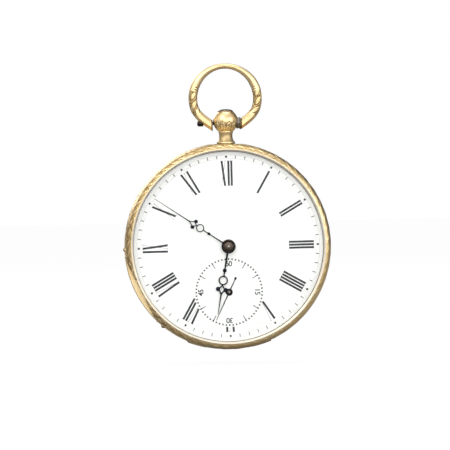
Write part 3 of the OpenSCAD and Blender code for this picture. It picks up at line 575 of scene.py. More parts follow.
def make_bezel():
    """The rounded rim with its chasing, its inner lip and the two hinge knuckles that belong to it."""
    steps, first, last, points = 1080, -18, 112, 40
    lip_r = DIAL_R + 0.15
    lip = [(lip_r + 0.31, 10.2), (lip_r + 0.27, 9.75), (lip_r, 9.6), (lip_r, BAND_FRONT + 0.03)]
    rows = []
    for i in range(steps):
        degrees = 360 * i / steps
        row = []
        for k in range(points):
            phi = first + (last - first) * k / (points - 1)
            h = bezel_relief(degrees, phi)
            drop = BEZEL_CUT * (1 - h)
            r = BEZEL_R - CREST_WIDE + (CREST_WIDE - drop) * math.cos(math.radians(phi))
            z = BEZEL_TOP - CREST_HIGH + (CREST_HIGH - drop) * math.sin(math.radians(phi))
            row.append((*hinge_clamp(*clock(r, degrees), z), h))
        # painted shade: the plain inner lip is darkened, a painted dark line inside the bezel
        rows.append(row + [(*clock(r, degrees), z, LIP_PAINTED_SHADE) for r, z in lip])
    shape = Shape().ring_of_rows(rows)
    width = (2 * HINGE_HALF - 4 * KNUCKLE_GAP) / 5
    for number in (1, 3):
        start = -HINGE_HALF + number * (width + KNUCKLE_GAP)
        hinge_knuckle(shape, start, start + width)
    return piece("chased_bezel", shape, "front", "chased", replaces=("bezel",))


def hinge_point(u, v, h):
    """A point by its place out from the hinge line, along it and above it."""
    c, s = math.cos(HINGE_TURN), math.sin(HINGE_TURN)
    return c * (HINGE_U + u) - s * v, s * (HINGE_U + u) + c * v, HINGE_Z + h


def hinge_knuckle(shape, start, end):
    """A knuckle with chamfered ends, and the web that joins it to the bezel."""
    bore, rim = 0.3, 0.05
    profile = [(bore, start), (KNUCKLE_R - rim, start), (KNUCKLE_R, start + rim), (KNUCKLE_R, end - rim),
               (KNUCKLE_R - rim, end), (bore, end)]
    shape.ring_of_rows([[hinge_point(r * math.cos(a), v, r * math.sin(a)) for r, v in profile]
                        for a in turn_angles(32)])
    web = [[hinge_point(u, v, h) for u, h in ((0.08, 0.45), (0.55, 0.35), (0.55, 0.95), (0.08, 0.95))]
           for v in (start + rim, end - rim)]
    return shape.grid(web)


def make_crystal():
    """The domed glass, the pale bevel round its edge, whose colour is a painted reflection, and a dark ring
    of painted shadow where it meets the dial.
    """
    edge_r, steps, rings = DIAL_R + 0.2, 256, 40
    rise = 1.2
    outer = [(edge_r * k / rings, GLASS_TOP - rise * (k / rings) ** 2) for k in range(1, rings + 1)]
    inner = [(r, z - 0.45) for r, z in reversed(outer)]
    profile = [(0.01, GLASS_TOP), *outer,
               (edge_r + 0.04, outer[-1][1] - 0.1), (edge_r + 0.04, inner[0][1] + 0.1),
               *inner, (0.01, GLASS_TOP - 0.45)]
    piece("domed_crystal", turned(profile, steps), "front", "glass", replaces=("glass",))
    # painted reflection: this pale ring stands for the bright reflection at the bezel's inner edge
    bevel = [(DIAL_R + 0.13, 9.66), (DIAL_R + 0.39, 9.78), (DIAL_R + 0.44, 10.20), (DIAL_R + 0.46, 10.90),
             (DIAL_R + 0.42, 10.94), (DIAL_R + 0.27, 10.40), (DIAL_R + 0.25, 10.02), (DIAL_R + 0.10, 9.80)]
    piece("crystal_bevel", Shape().ring_of_rows(revolve(bevel, 360)), "front", "bevel")
    # painted shadow: a dark ring in the gap between the dial's edge and the bezel
    line = [(DIAL_R + 0.01, 9.20), (DIAL_R + 0.14, 9.20), (DIAL_R + 0.14, 9.55), (DIAL_R + 0.01, 9.50)]
    piece("bezel_gap_painted_shadow", Shape().ring_of_rows(revolve(line, 360)), "front", "gap_painted_shadow")


# ---------------------------------------------------------------- case middle and back

def band_radius(z):
    """Outer radius of the case middle at a level."""
    half = (BAND_FRONT - BAND_BACK) / 2
    a = math.asin(clamp((z - BAND_BACK - half) / half * math.sin(math.radians(60)), -1, 1))
    return CASE_R_MID - 0.6 * (1 - math.cos(a))


def make_band_chasing():
    """Raised foliage round the case middle, between its two plain edges, open at the pendant's foot."""
    low, high, rows_across = BAND_BACK + 0.9, BAND_FRONT - 1.55, 26
    start, end, steps = 7.0, 353.0, 1000
    rows = []
    for i in range(steps + 1):
        degrees = start + (end - start) * i / steps
        row = []
        for k in range(rows_across):
            t = k / (rows_across - 1)
            z = low + (high - low) * t
            h = foliage(math.radians(degrees) * CASE_R_MID, t, 5.4, 3.4)
            border = smooth(t * 14) * smooth((1 - t) * 14)
            border = border * smooth((degrees - start) / 2) * smooth((end - degrees) / 2)
            lift = 0.02 + 0.10 * h * border
            if border < 0.98:
                h = max(h, 1 - border)
            row.append((*clock(band_radius(z) + lift, degrees), z, h))
        rows.append(row + [(*clock(band_radius(z) - 0.12, degrees), z) for z in (high, low)])
    return piece("band_chasing", Shape().grid(rows), "case", "chased")


def make_hinge_scrolls():
    """Scrolled leaves that stand out from the case middle at both ends of the bezel's hinge."""
    along = math.degrees(math.asin(HINGE_HALF / HINGE_U))
    centre = 90 - math.degrees(HINGE_TURN)
    shape = Shape()
    for side in (-1, 1):
        rows = []
        count = 30
        for i in range(count + 1):
            w = i / count
            degrees = centre + side * (along + 0.4 + 4.0 * (1 - w))
            swell = math.sin(math.pi * w ** 1.8) ** 0.6 if 0 < w < 1 else 0.0
            r = CASE_R_MID - 0.30 + 0.20 * math.sin(math.pi * w)
            half = 0.02 + 0.52 * swell
            row = []
            for a in turn_angles(20):
                groove = 0.22 * math.exp(-((math.sin(a) - 0.25) / 0.18) ** 2) * (math.cos(a) > 0)
                out = (1 - groove) * half
                h = clamp(1.0 - 3.4 * groove) if math.cos(a) < 0.55 else 0.3
                z = HINGE_Z - 1.55 + 1.5 * out * math.sin(a)
                row.append((*clock(r + out * math.cos(a), degrees), z, h))
            rows.append(row)
        shape.grid(rows)
    return piece("hinge_scrolls", shape, "case", "chased")


def make_back_hinge_ends():
    """The two tapered ends of the back covers' hinge, which stand out from the case's lower edge."""
    shape = Shape()
    for side in (-1, 1):
        rows = []
        count = 24
        for i in range(count + 1):
            w = i / count
            x, y = 4.6 + 4.0 * w, -20.40 + 0.94 * w ** 1.2
            half = 0.07 + 0.26 * (1 - w) ** 0.5
            # painted shade darkens all but the underside of each end, past its first quarter
            rows.append([(side * x, y + half * math.sin(a), MID_Z - 0.9 + 1.8 * half * math.cos(a),
                          0.1 if math.sin(a) > -0.2 and w > 0.25 else 1.0) for a in turn_angles(20)])
        shape.grid(rows)
    return piece("back_hinge_ends", shape, "case", "chased")


BACK_FLAT_R = 13                       # the back cover is flat to here, then curves up
BACK_SLOPE_WIDE, BACK_SLOPE_HIGH = 7.6, 1.9
DISC_R, BORDER_IN, BORDER_OUT = 4.2, 15.7, 18.3   # plain disc, and the chased border round the engine turning
ROSETTE_IN, ROSETTE_STEP = 4.6, 1.2


def back_surface(r):
    """Depth of the back cover's outer skin at a radius, measured forwards from its flat."""
    if r <= BACK_FLAT_R:
        return 0.0
    reach = clamp((r - BACK_FLAT_R) / BACK_SLOPE_WIDE)
    return BACK_SLOPE_HIGH * (1 - math.sqrt(1 - reach * reach))


def back_pattern(r, a):
    """Engine turning: barleycorn rosettes round a plain disc, inside a chased border."""
    if r < DISC_R:
        return 1.0
    if r < ROSETTE_IN:
        return 0.2
    if r < 15.4:
        phase = 2 * math.pi * (r - ROSETTE_IN) / ROSETTE_STEP
        wave = math.sin(36 * a + (math.pi if int((r - ROSETTE_IN) / ROSETTE_STEP) % 2 else 0))
        return 0.5 + 0.5 * math.cos(2 * phase + 1.9 * wave)
    if r < BORDER_IN:
        return 0.1
    if r < BORDER_OUT:
        return foliage(a * 17, (r - BORDER_IN) / 2.6, 3.8142, 2.6)
    return 1.0


def make_back_engraving():
    """The decorated skin over the back cover: engraved lines sink below its face."""
    steps, rings, centre, edge = 960, 150, 0.05, 18.9
    cut, above, below = 0.045, 0.03, 0.05
    rows = []
    for k in range(rings + 1):
        r = centre + (edge - centre) * k / rings
        rim = smooth((edge - r) / 0.3)
        row = []
        for a in turn_angles(steps):
            h = back_pattern(r, a)
            z = back_surface(r) - (above - cut * (1 - h)) * rim + (1 - rim) * 0.02
            row.append((r * math.cos(a), r * math.sin(a), z, 0.35 + 0.65 * h))
        rows.append(row)
    for r in (edge, centre):
        rows.append([(r * math.cos(a), r * math.sin(a), back_surface(r) + below) for a in turn_angles(steps)])
    return piece("back_engraving", Shape().grid(rows), "back", "chased")


# ---------------------------------------------------------------- pendant and bow

def make_pendant():
    """Neck and ball turned about the pendant's axis; leaves are chased into the lower part of the ball."""
    neck_y, waist_r = 23.45, 1.36
    foot = [(1.2, PENDANT_FOOT), (1.85, PENDANT_FOOT), (1.88, 20.78), (1.78, 20.86), (1.76, 20.95),
            (1.88, 21.02), (1.90, 21.15), (1.84, 21.32), (1.70, 21.42), (1.60, 21.50), (1.56, 21.60),
            (1.48, 21.8), (1.40, 22.05), (waist_r, 22.35), (waist_r, 22.75), (1.40, 23.0), (1.50, 23.2)]
    start = math.asin((neck_y - BALL_Y) / BALL_R)
    end = math.asin((BALL_TOP - BALL_Y - 0.04) / BALL_R)
    count = 80
    ball = [(BALL_R * math.cos(a), BALL_Y + BALL_R * math.sin(a))
            for a in (start + (end - start) * k / (count - 1) for k in range(count))]
    top = [(1.66, BALL_TOP), (1.60, BALL_TOP), (1.58, BALL_TOP - 0.05), (1.58, BALL_TOP - 0.8),
           (0.7, BALL_TOP - 0.8)]
    rows = []
    for r, y in foot + ball + top:
        row = []
        t = (y - 23.4) / 2.2
        for a in turn_angles(240):
            h, rr = 1.0, r
            if 0 < t < 1 and r > 1.6:
                h = ball_leaf(a, t)
                rr = r - 0.13 * (1 - h)
            if y < neck_y - 0.3 and r < 1.9:
                h = 0.5   # painted shade: the neck is darker than the ball, a painted reflection of dark surroundings
            # painted shadow: the foot's lowest edge is darkened where it meets the case
            if y < 20.98 and r > 1.7:
                h = 0.0 if y < 20.9 else 0.4
            row.append((rr * math.sin(a), y, MID_Z + rr * math.cos(a), h))
        rows.append(row)
    return piece("pendant_ball", Shape().grid(rows), "case", "chased", replaces=("pendant",))


def ball_leaf(a, t):
    """Upright leaves round the ball's lower part, each with a vein, side nicks and a dot above it."""
    leaves = 11
    u = (a / (2 * math.pi) * leaves) % 1 - 0.5
    if t > 0.86:
        return 0.15 if abs(t - 0.93) < 0.045 and abs(u) < 0.07 else 1.0
    half = 0.49 * math.sqrt(clamp(1 - ((t - 0.25) / 0.61) ** 2))
    side = abs(u) / max(half, 0.01)
    if side > 1:
        return 1.0 if side > 1 + 0.10 / max(half, 0.05) else 0.25
    vein = 0.5 * math.exp(-(u / 0.035) ** 2) * (t < 0.7)
    nick = 0.45 * max(0.0, math.sin(24 * (t + 0.5 * abs(u)))) ** 8
    return clamp(0.62 + 0.38 * math.sqrt(1 - side * side) - vein - nick)


def make_push_piece():
    low, high = BALL_TOP - 0.2, span("push_piece", "y")[1]
    r = span("push_piece", "x")[1]
    edge, rise = low + 0.35 * (high - low), 0.65 * (high - low)
    dome = [(r * math.cos(a), edge + rise * math.sin(a)) for a in (math.pi / 2 * k / 12 for k in range(12))]
    profile = [(0.3, low), (r - 0.04, low), (r, low + 0.05), *dome, (0.02, high)]
    shape = turned(profile, 96, "y", (0, 0, MID_Z))
    stem_low, stem_high = span("push_piece", "y")[0], low
    stem = turned([(0.6, stem_low), (0.6, stem_high)], 32, "y", (0, 0, MID_Z))
    shape.add(stem.verts, stem.faces)
    return piece("push_button", shape, "push", "old_steel", replaces=("push_piece",))


BOW_MID = BOW_TOP - 0.55       # middle of the wire at the top of the bow
BOW_R = 6.6
BOW_END_X = {-1: 2.66, 1: 3.06}  # the arms are cut off flat beside the ball and beside the washer
BOW_LEAVE = math.radians(105)  # where the arms leave the ring's circle
ARC_SHARE = 0.78


def bow_path(q):
    """Middle of the bow's wire at q from -1 (left end) to 1 (right end): x, y."""
    side, q = (1 if q >= 0 else -1), abs(q)
    centre_y = BOW_MID - BOW_R
    psi = BOW_LEAVE * min(q / ARC_SHARE, 1)
    x, y = BOW_R * math.sin(psi), centre_y + BOW_R * math.cos(psi)
    if q > ARC_SHARE:
        w = (q - ARC_SHARE) / (1 - ARC_SHARE)
        along = (math.cos(psi), -math.sin(psi))
        end, last = (2.1, PIVOT_Y - 0.85), (-0.82, -0.57)
        points = [(x, y), (x + 1.9 * along[0], y + 1.9 * along[1]),
                  (end[0] - 2.2 * last[0], end[1] - 2.2 * last[1]), end]
        weights = ((1 - w) ** 3, 3 * w * (1 - w) ** 2, 3 * w * w * (1 - w), w ** 3)
        x, y = (sum(c * p[k] for c, p in zip(weights, points)) for k in (0, 1))
    return side * x, y


BOW_CUT = 0.13                  # depth of the chasing on the arms
CHASED_FROM, CHASED_TO = 0.57, 0.86


def bow_relief(q, run, around, c):
    """Height from 0 to 1 of the bow's chasing at q along it, at a share of the way round the wire."""
    h = 1.0
    if CHASED_FROM < abs(q) < CHASED_TO:
        fade = smooth((abs(q) - CHASED_FROM) / 0.02) * smooth((CHASED_TO - abs(q)) / 0.03)
        h = 1 - fade * (1 - foliage(run, (around * 2) % 1, 3.8, 2.6))
    # two notches on the inner side, where the chasing starts
    for at in (0.515, 0.545):
        h = min(h, 1 - 0.95 * math.exp(-((abs(q) - at) / 0.005) ** 2) * smooth(-3 * c))
    return h


def make_bow():
    """The tapered ring, cut off flat at both ends, its lower arms chased and planed."""
    steps, around = 520, 48
    rows = []
    run = 0.0
    before = Vector(bow_path(-1))
    for i in range(steps + 1):
        q = -1 + 2 * i / steps
        side = 1 if q > 0 else -1
        here = Vector(bow_path(q))
        ahead, behind = Vector(bow_path(min(q + 0.004, 1))), Vector(bow_path(max(q - 0.004, -1)))
        tangent = (ahead - behind).normalized()
        normal = Vector((-tangent.y, tangent.x))
        run += (here - before).length
        before = here
        thick = 0.54 + 0.40 * smooth(abs(q) / 0.62) + 0.03 * smooth((abs(q) - 0.78) / 0.15)
        flat = 0.62 + 0.22 * smooth(abs(q) / 0.7)
        plane = smooth((abs(q) - 0.80) / 0.08)
        row = []
        for k, a in enumerate(turn_angles(around)):
            c, s = math.cos(a), math.sin(a)
            h = bow_relief(q, run, k / around, c)
            # the arms are planed: flats that meet in low ridges
            facet = math.cos(math.pi / 8) / math.cos((a + math.pi / 8) % (math.pi / 4) - math.pi / 8)
            scale = (1 - plane) + plane * facet * 1.03
            drop = BOW_CUT * (1 - h)
            out, deep = (thick * scale - drop) * c, (flat * scale - drop) * s
            x, y = here.x + normal.x * out, here.y + normal.y * out
            # painted shade: the cut end faces and the wire just beside them are darkened
            if abs(q) > 0.9 and x * side < BOW_END_X[side] + 0.28:
                h = 0.0
            if abs(q) > 0.9 and x * side < BOW_END_X[side]:
                back = (side * BOW_END_X[side] - x) / tangent.x
                x, y = x + back * tangent.x, y + back * tangent.y
            # painted shade darkens the inside of the ring
            row.append((x, y, MID_Z + deep, min(h, 1 - 0.85 * smooth((-c - 0.80) / 0.15))))
        rows.append(row)
    return piece("bow_ring", Shape().grid(rows), "bow", "chased", replaces=("bow",))


def make_bow_fittings():
    """The dark screw in the left end, the pivot in the right end and the grey collar beside the ball."""
    head = [(0.02, -5.82), (0.30, -5.80), (0.48, -5.70), (0.58, -5.5), (0.58, -4.65), (0.5, -4.6),
            (0.34, -4.58), (0.34, -1.3), (0.02, -1.2)]
    screw = turned(head, 48, "x", (0, PIVOT_Y, MID_Z))
    piece("bow_screw_head", screw, "case", "dark_steel", replaces=("bow_screw",))
    pin = turned([(0.02, 1.2), (0.34, 1.3), (0.34, 4.3), (0.02, 4.35)], 32, "x", (0, PIVOT_Y, MID_Z))
    piece("bow_pivot", pin, "case", "dark_steel", replaces=("bow_pin",))
    low, high = 2.22, 3.02
    collar = [(0.36, low), (1.10, low), (1.22, low + 0.06), (1.24, low + 0.14), (1.10, low + 0.22),
              (1.12, high - 0.22), (1.30, high - 0.14), (1.30, high - 0.05), (1.20, high), (0.36, high)]
    washer = turned(collar, 64, "x", (0, PIVOT_Y + 0.05, MID_Z))
    piece("bow_washer", washer, "case", "old_steel", replaces=("bow_collar",))


# ---------------------------------------------------------------- dial

INK_T = 0.018   # thickness of the fired print
NUMERAL_IN, NUMERAL_OUT = 12.35, 17.4
THICK, THIN = 0.43, 0.078
SECONDS_R = 6.89


def outside_seconds(x, y):
    return math.hypot(x, y - SECONDS_Y) > SECONDS_R + 0.16


def radial(u, r, degrees):
    """x, y of a point u to the right of a numeral's middle line, at a height r from the dial's middle."""
    a = math.radians(degrees)
    return u * math.cos(a) + r * math.sin(a), r * math.cos(a) - u * math.sin(a)


def stroke(shape, foot_u, head_u, width, degrees, low=NUMERAL_IN, high=NUMERAL_OUT):
    """A numeral's stroke from its foot to its head, cut short where the seconds dial begins."""
    pieces = 24
    kept = []
    for i in range(pieces + 1):
        w = i / pieces
        u, r = foot_u + (head_u - foot_u) * w, low + (high - low) * w
        if outside_seconds(*radial(u, r, degrees)):
            kept.append((u, r))
    if len(kept) < 2:
        return
    (u0, r0), (u1, r1) = kept[0], kept[-1]
    outline = [radial(u, r, degrees) for u, r in
               ((u0 - width / 2, r0), (u0 + width / 2, r0), (u1 + width / 2, r1), (u1 - width / 2, r1))]
    prism(shape, outline, DIAL_FRONT - INK_T, DIAL_FRONT + INK_T)


def serif(shape, left, right, r, degrees):
    """A hairline across the heads or the feet."""
    if all(outside_seconds(*radial(u, r, degrees)) for u in (left, right)):
        outline = [radial(u, rr, degrees) for u, rr in
                   ((left, r - THIN / 2), (right, r - THIN / 2), (right, r + THIN / 2), (left, r + THIN / 2))]
        prism(shape, outline, DIAL_FRONT - INK_T, DIAL_FRONT + INK_T)


# Width of each letter, and its strokes as (foot, head, thick?) from the letter's left edge
LETTERS = {
    "I": (0.60, [(0.30, 0.30, True)]),
    "V": (1.35, [(0.62, 0.30, True), (0.70, 1.12, False)]),
    "X": (1.45, [(0.98, 0.38, True), (0.28, 1.12, False)]),
}
NUMERALS = ["XII", "I", "II", "III", "IIII", "V", "VI", "VII", "VIII", "IX", "X", "XI"]


def make_numerals():
    thick, thin = Shape(), Shape()
    for number, letters in enumerate(NUMERALS):
        degrees = 30 * number + DIAL_TURN
        at = -sum(LETTERS[c][0] for c in letters) / 2
        for letter in letters:
            width, strokes = LETTERS[letter]
            for foot, head, heavy in strokes:
                target = thick if heavy else thin
                stroke(target, at + foot, at + head, THICK if heavy else THIN * 1.3, degrees)
                reach = 0.30 if heavy else 0.22
                serif(thin, at + foot - reach, at + foot + reach, NUMERAL_IN, degrees)
                serif(thin, at + head - reach, at + head + reach, NUMERAL_OUT, degrees)
            at += width
    piece("hour_numerals", thick, "case", "ink")
    piece("numeral_hairlines", thin, "case", "fine_ink")


def dot(shape, x, y, r, low, high, steps=20):
    prism(shape, [(x + r * math.cos(a), y + r * math.sin(a)) for a in turn_angles(steps)], low, high)


def make_minute_track():
    low, high = DIAL_FRONT - INK_T, DIAL_FRONT + INK_T
    inner, outer = 17.84, 18.6
    lines, dots = Shape(), Shape()
    for r in (inner, outer):
        band_prism(lines, r - 0.015, r + 0.015, low, high)
    ticks = Shape()
    for minute in range(60):
        if minute % 5 == 0:
            dot(dots, *clock(18.23, 6 * minute + DIAL_TURN), 0.23, low, high)
        else:
            band_prism(ticks, inner + 0.06, outer - 0.08, low, high, steps=1,
                       start=6 * minute - 0.26 + DIAL_TURN, turn=0.52)
    piece("minute_circles", lines, "case", "fine_ink")
    piece("minute_ticks", ticks, "case", "tick_ink")
    piece("five_minute_dots", dots, "case", "ink")


def make_seconds_track():
    """Chequered second blocks, long marks at each fifth second, and four numbers."""
    low, high = DIAL_FRONT - INK_T, DIAL_FRONT + INK_T
    centre = (0, SECONDS_Y)
    track = Shape()
    fine = Shape()
    for r in (SECONDS_R, SECONDS_R - 0.34):
        band_prism(fine, r - 0.03, r, low, high, centre, steps=240)
    piece("seconds_circles", fine, "case", "fine_ink")
    for second in range(60):
        band_prism(track, SECONDS_R - 0.36, SECONDS_R - 0.02, low, high, centre, steps=2,
                   start=6 * second - 1.15, turn=2.3)
    for second in range(0, 60, 5):
        if second % 15:
            band_prism(track, 5.5, SECONDS_R - 0.35, low, high, centre, steps=1,
                       start=6 * second - 0.75, turn=1.5)
    piece("seconds_track", track, "case", "ink")
    for number in ("60", "15", "30", "45"):
        degrees = 6 * (int(number) % 60)
        curve = bpy.data.curves.new("seconds_" + number, "FONT")
        curve.body = number
        curve.size = 1.5 * MM
        curve.offset = 0.03 * MM
        curve.align_x = "CENTER"
        curve.align_y = "CENTER"
        curve.extrude = INK_T * MM
        curve.space_character = 0.9
        made = bpy.data.objects.new("seconds_" + number, curve)
        bpy.context.scene.collection.objects.link(made)
        x, y = clock(5.72, degrees)
        stand = Matrix.Rotation(math.radians(90), 4, "X")
        turn = Matrix.Rotation(math.radians(-degrees), 4, "Z")
        made.matrix_world = Matrix.Translation(place(x, y + SECONDS_Y, DIAL_FRONT)) @ stand @ turn
        made.data.materials.append(MATERIALS["ink"])
        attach(made, "case")


def make_cracks():
    """Two hairline cracks in the enamel below the seconds dial."""
    low, high = DIAL_FRONT - INK_T, DIAL_FRONT + 0.6 * INK_T
    shape = Shape()
    for start, end, bend in (((3.2, -15.5), (9.4, -14.8), -0.55), ((-2.2, -16.0), (-3.9, -16.9), 0.2)):
        count = 22
        points = []
        for i in range(count + 1):
            w = i / count
            wobble = 0.10 * noise.noise(Vector((w * 9, start[0], 0)))
            x = start[0] + (end[0] - start[0]) * w
            y = start[1] + (end[1] - start[1]) * w + bend * math.sin(math.pi * w) + wobble
            points.append((x, y))
        for i, (a, b) in enumerate(zip(points, points[1:])):
            half = 0.028 * (1 - 0.7 * abs(2 * i / count - 1))
            nx, ny = -(b[1] - a[1]), b[0] - a[0]
            length = math.hypot(nx, ny)
            nx, ny = nx / length * half, ny / length * half
            prism(shape, [(a[0] - nx, a[1] - ny), (b[0] - nx, b[1] - ny), (b[0] + nx, b[1] + ny),
                          (a[0] + nx, a[1] + ny)], low, high)
    piece("enamel_cracks", shape, "case", "crack")


# ---------------------------------------------------------------- hands

def hand_angle(node):
    """Clockwise angle of a hand, from the direction of its farthest point from its own body's axis."""
    mesh = frame["nodes"][node].data
    axis_y = SECONDS_Y if node == "seconds_hand" else 0.0
    far = max(mesh.vertices, key=lambda v: math.hypot(v.co.x, v.co.z - axis_y * MM)).co
    return math.degrees(math.atan2(far.x, far.z - axis_y * MM)), math.hypot(far.x, far.z - axis_y * MM) / MM


def turned_shape(shape, degrees, centre=(0, 0)):
    """Turns a Shape clockwise about the dial's middle, then moves it."""
    a = math.radians(degrees)
    c, s = math.cos(a), math.sin(a)
    shape.verts = [(c * x + s * y + centre[0], c * y - s * x + centre[1], z) for x, y, z in shape.verts]
    return shape


def fleur_hand(name, node, body, levels, hub, bead_y, moon_y, moon_r, line, fleur, lobe, waist):
    degrees, reach = hand_angle(node)
    shape = Shape()
    low, high = levels
    ring_shape(shape, (0, 0), hub - 0.2, 0.2, levels)
    bar_shape(shape, (0, hub - 0.3), (0, bead_y), waist * 1.25, waist * 0.8, levels)
    bead_shape(shape, (0, bead_y), 2.3 * waist, 2.6 * waist, (low - 0.02, high + 0.03))
    bar_shape(shape, (0, bead_y), (0, moon_y - moon_r + line), waist * 0.8, waist * 0.8, levels)
    ring_shape(shape, (0, moon_y), moon_r - line / 2, line / 2 + 0.01, levels, steps=64)
    bar_shape(shape, (0, moon_y + moon_r - line), (0, fleur[0] + 0.05), waist, waist, levels)
    wide = fleur[0] + 0.42 * (fleur[1] - fleur[0])
    for side in (-1, 1):
        corner = (side * (lobe[0] - 0.15), wide)
        bar_shape(shape, (0, fleur[0]), corner, line * 0.5, line * 0.55, levels)
        bar_shape(shape, corner, (0, fleur[1]), line * 0.55, line * 0.5, levels)
        bead_shape(shape, (side * lobe[0], lobe[1]), lobe[2], lobe[2] * 1.05, (low - 0.02, high + 0.04))
    bead_shape(shape, (0, fleur[1] - 0.02), 1.2 * waist, 2.2 * waist, levels)
    bar_shape(shape, (0, fleur[1] - 0.15), (0, reach), waist * 0.95, 0.045, levels)
    turned_shape(shape, degrees)
    return piece(name, shape, body, "hand_steel", replaces=(node,))


def make_hands():
    fleur_hand("hour_fleur_hand", "hour_hand", "hours", HOUR_Z, 1.3, 4.95, 7.0, 0.96, 0.24,
               (8.05, 9.85), (0.78, 8.85, 0.43), 0.17)
    fleur_hand("minute_fleur_hand", "minute_hand", "centre", MINUTE_Z, 1.1, 4.74, 6.87, 0.82, 0.19,
               (7.75, 9.45), (0.68, 8.30, 0.38), 0.13)
    degrees, reach = hand_angle("seconds_hand")
    shape = Shape()
    low, high = SECONDS_Z
    bar_shape(shape, (0, 0), (0, reach), 0.12, 0.04, SECONDS_Z)
    bar_shape(shape, (0, -2.95), (0, 0), 0.07, 0.12, SECONDS_Z)
    bead_shape(shape, (0, -3.05), 0.22, 0.34, (low - 0.02, high))
    turned_shape(shape, degrees, (0, SECONDS_Y))
    # all of it stays below the hour hand
    boss = [(0.02, low), (0.66, low), (0.72, low + 0.03), (0.72, high - 0.06), (0.62, high - 0.02),
            (0.42, high - 0.05), (0.36, high - 0.04), (0.3, high - 0.02), (0.12, high - 0.01),
            (0.02, high - 0.01)]
    cap = turned(boss, 64, "z", (0, SECONDS_Y, 0))
    shape.add(cap.verts, cap.faces)
    piece("seconds_pointer", shape, "seconds", "hand_steel", replaces=("seconds_hand",))
    eye = [(0.36, high - 0.08), (0.36, high - 0.03), (0.28, high), (0.02, high + 0.005)]
    piece("seconds_pipe_end", turned([(0.02, high - 0.08), *eye], 32, "z", (0, SECONDS_Y, 0)), "seconds",
          "cap_face")


def make_boss():
    """The domed cap over the hands' axis: a dark rim, a dished face and a bright point in the middle."""
    low, high = span("minute_hand_boss", "z")
    r = span("minute_hand_boss", "x")[1]
    profile = [(0.4, low), (r - 0.06, low), (r, low + 0.08), (r - 0.03, low + 0.24), (r - 0.16, low + 0.36),
               (r - 0.34, low + 0.38), (r - 0.48, low + 0.34), (0.6, low + 0.42), (0.3, low + 0.47)]
    shape = turned([*profile, (0.02, low + 0.48)], 96)
    piece("hand_cap", shape, "centre", "dark_steel", replaces=("minute_hand_boss",))
    face = [(0.86, low + 0.30), (0.88, low + 0.40), (0.80, low + 0.46), (0.4, low + 0.50), (0.02, low + 0.51)]
    piece("hand_cap_face", turned([(0.02, low + 0.30), *face], 64), "centre", "cap_face")
    pip = [(0.17, low + 0.42), (0.17, low + 0.53), (0.12, high), (0.02, high + 0.01)]
    piece("hand_cap_point", turned([(0.02, low + 0.4), *pip], 32), "centre", "steel")


# ---------------------------------------------------------------- CAD nodes that stay

KEPT = {
    "gold": ("case_band", "back_cover", "cuvette"),
    "steel": (
        "barrel_arbor", "ratchet_wheel", "click", "centre_arbor", "setting_arbor", "cannon_pinion",
        "third_pinion", "fourth_pinion", "escape_pinion", "escape_wheel", "balance_cylinder", "regulator",
        "bezel_hinge_pin", "back_hinge_pin"),
    "gilt": (
        "main_plate", "barrel_bar", "centre_bar", "third_bar", "fourth_bar", "balance_cock", "escape_cock",
        "barrel", "barrel_cover"),
    "brass": (
        "centre_wheel", "third_wheel", "fourth_wheel", "minute_wheel", "hour_wheel", "balance_wheel",
        "hairspring_collet"),
    "blued": (
        "lock_spring", "click_spring", "mainspring", "hairspring", "hairspring_stud", "bar_screws",
        "cock_screws", "case_screws", "click_screw", "endstone_cap"),
    "ruby": ("train_jewels", "balance_jewels"),
    "enamel": ("dial",),
}
# The kept nodes whose sharp edges are rounded, by how far in millimetres
ROUNDED = {
    0.03: ("ratchet_wheel",),
    0.04: ("balance_wheel",),
    0.05: ("case_band", "cuvette", "escape_cock", "bar_screws", "cock_screws", "endstone_cap"),
    0.06: ("back_cover", "main_plate"),
    0.08: ("barrel_bar", "centre_bar", "third_bar", "fourth_bar", "balance_cock"),
    0.12: ("dial",),
}


def finish_kept_nodes():
    """Gives each node that stays its material, and rounds the sharp edges of those in ROUNDED."""
    for material, nodes in KEPT.items():
        for node in nodes:
            data = frame["nodes"][node].data
            data.materials.clear()
            data.materials.append(MATERIALS[material])
    for width, nodes in ROUNDED.items():
        for node in nodes:
            soften = frame["nodes"][node].modifiers.new("rounded_edges", "BEVEL")
            soften.width = width * MM
            soften.segments = 3
            soften.limit_method = "ANGLE"
            soften.angle_limit = math.radians(40)
            soften.harden_normals = True


# ---------------------------------------------------------------- studio

def show_to_camera(nodes, link, seen, reflected, output):
    """Sends one shader to the camera and another to every other ray."""
    rays = nodes.new("ShaderNodeLightPath")
    choose = nodes.new("ShaderNodeMixShader")
    link(rays.outputs["Is Camera Ray"], choose.inputs["Fac"])
    link(reflected, choose.inputs[1])
    link(seen, choose.inputs[2])
    link(choose.outputs["Shader"], output.inputs["Surface"])


FLOOR_DROP = 3  # low enough for the back covers to open above the floor


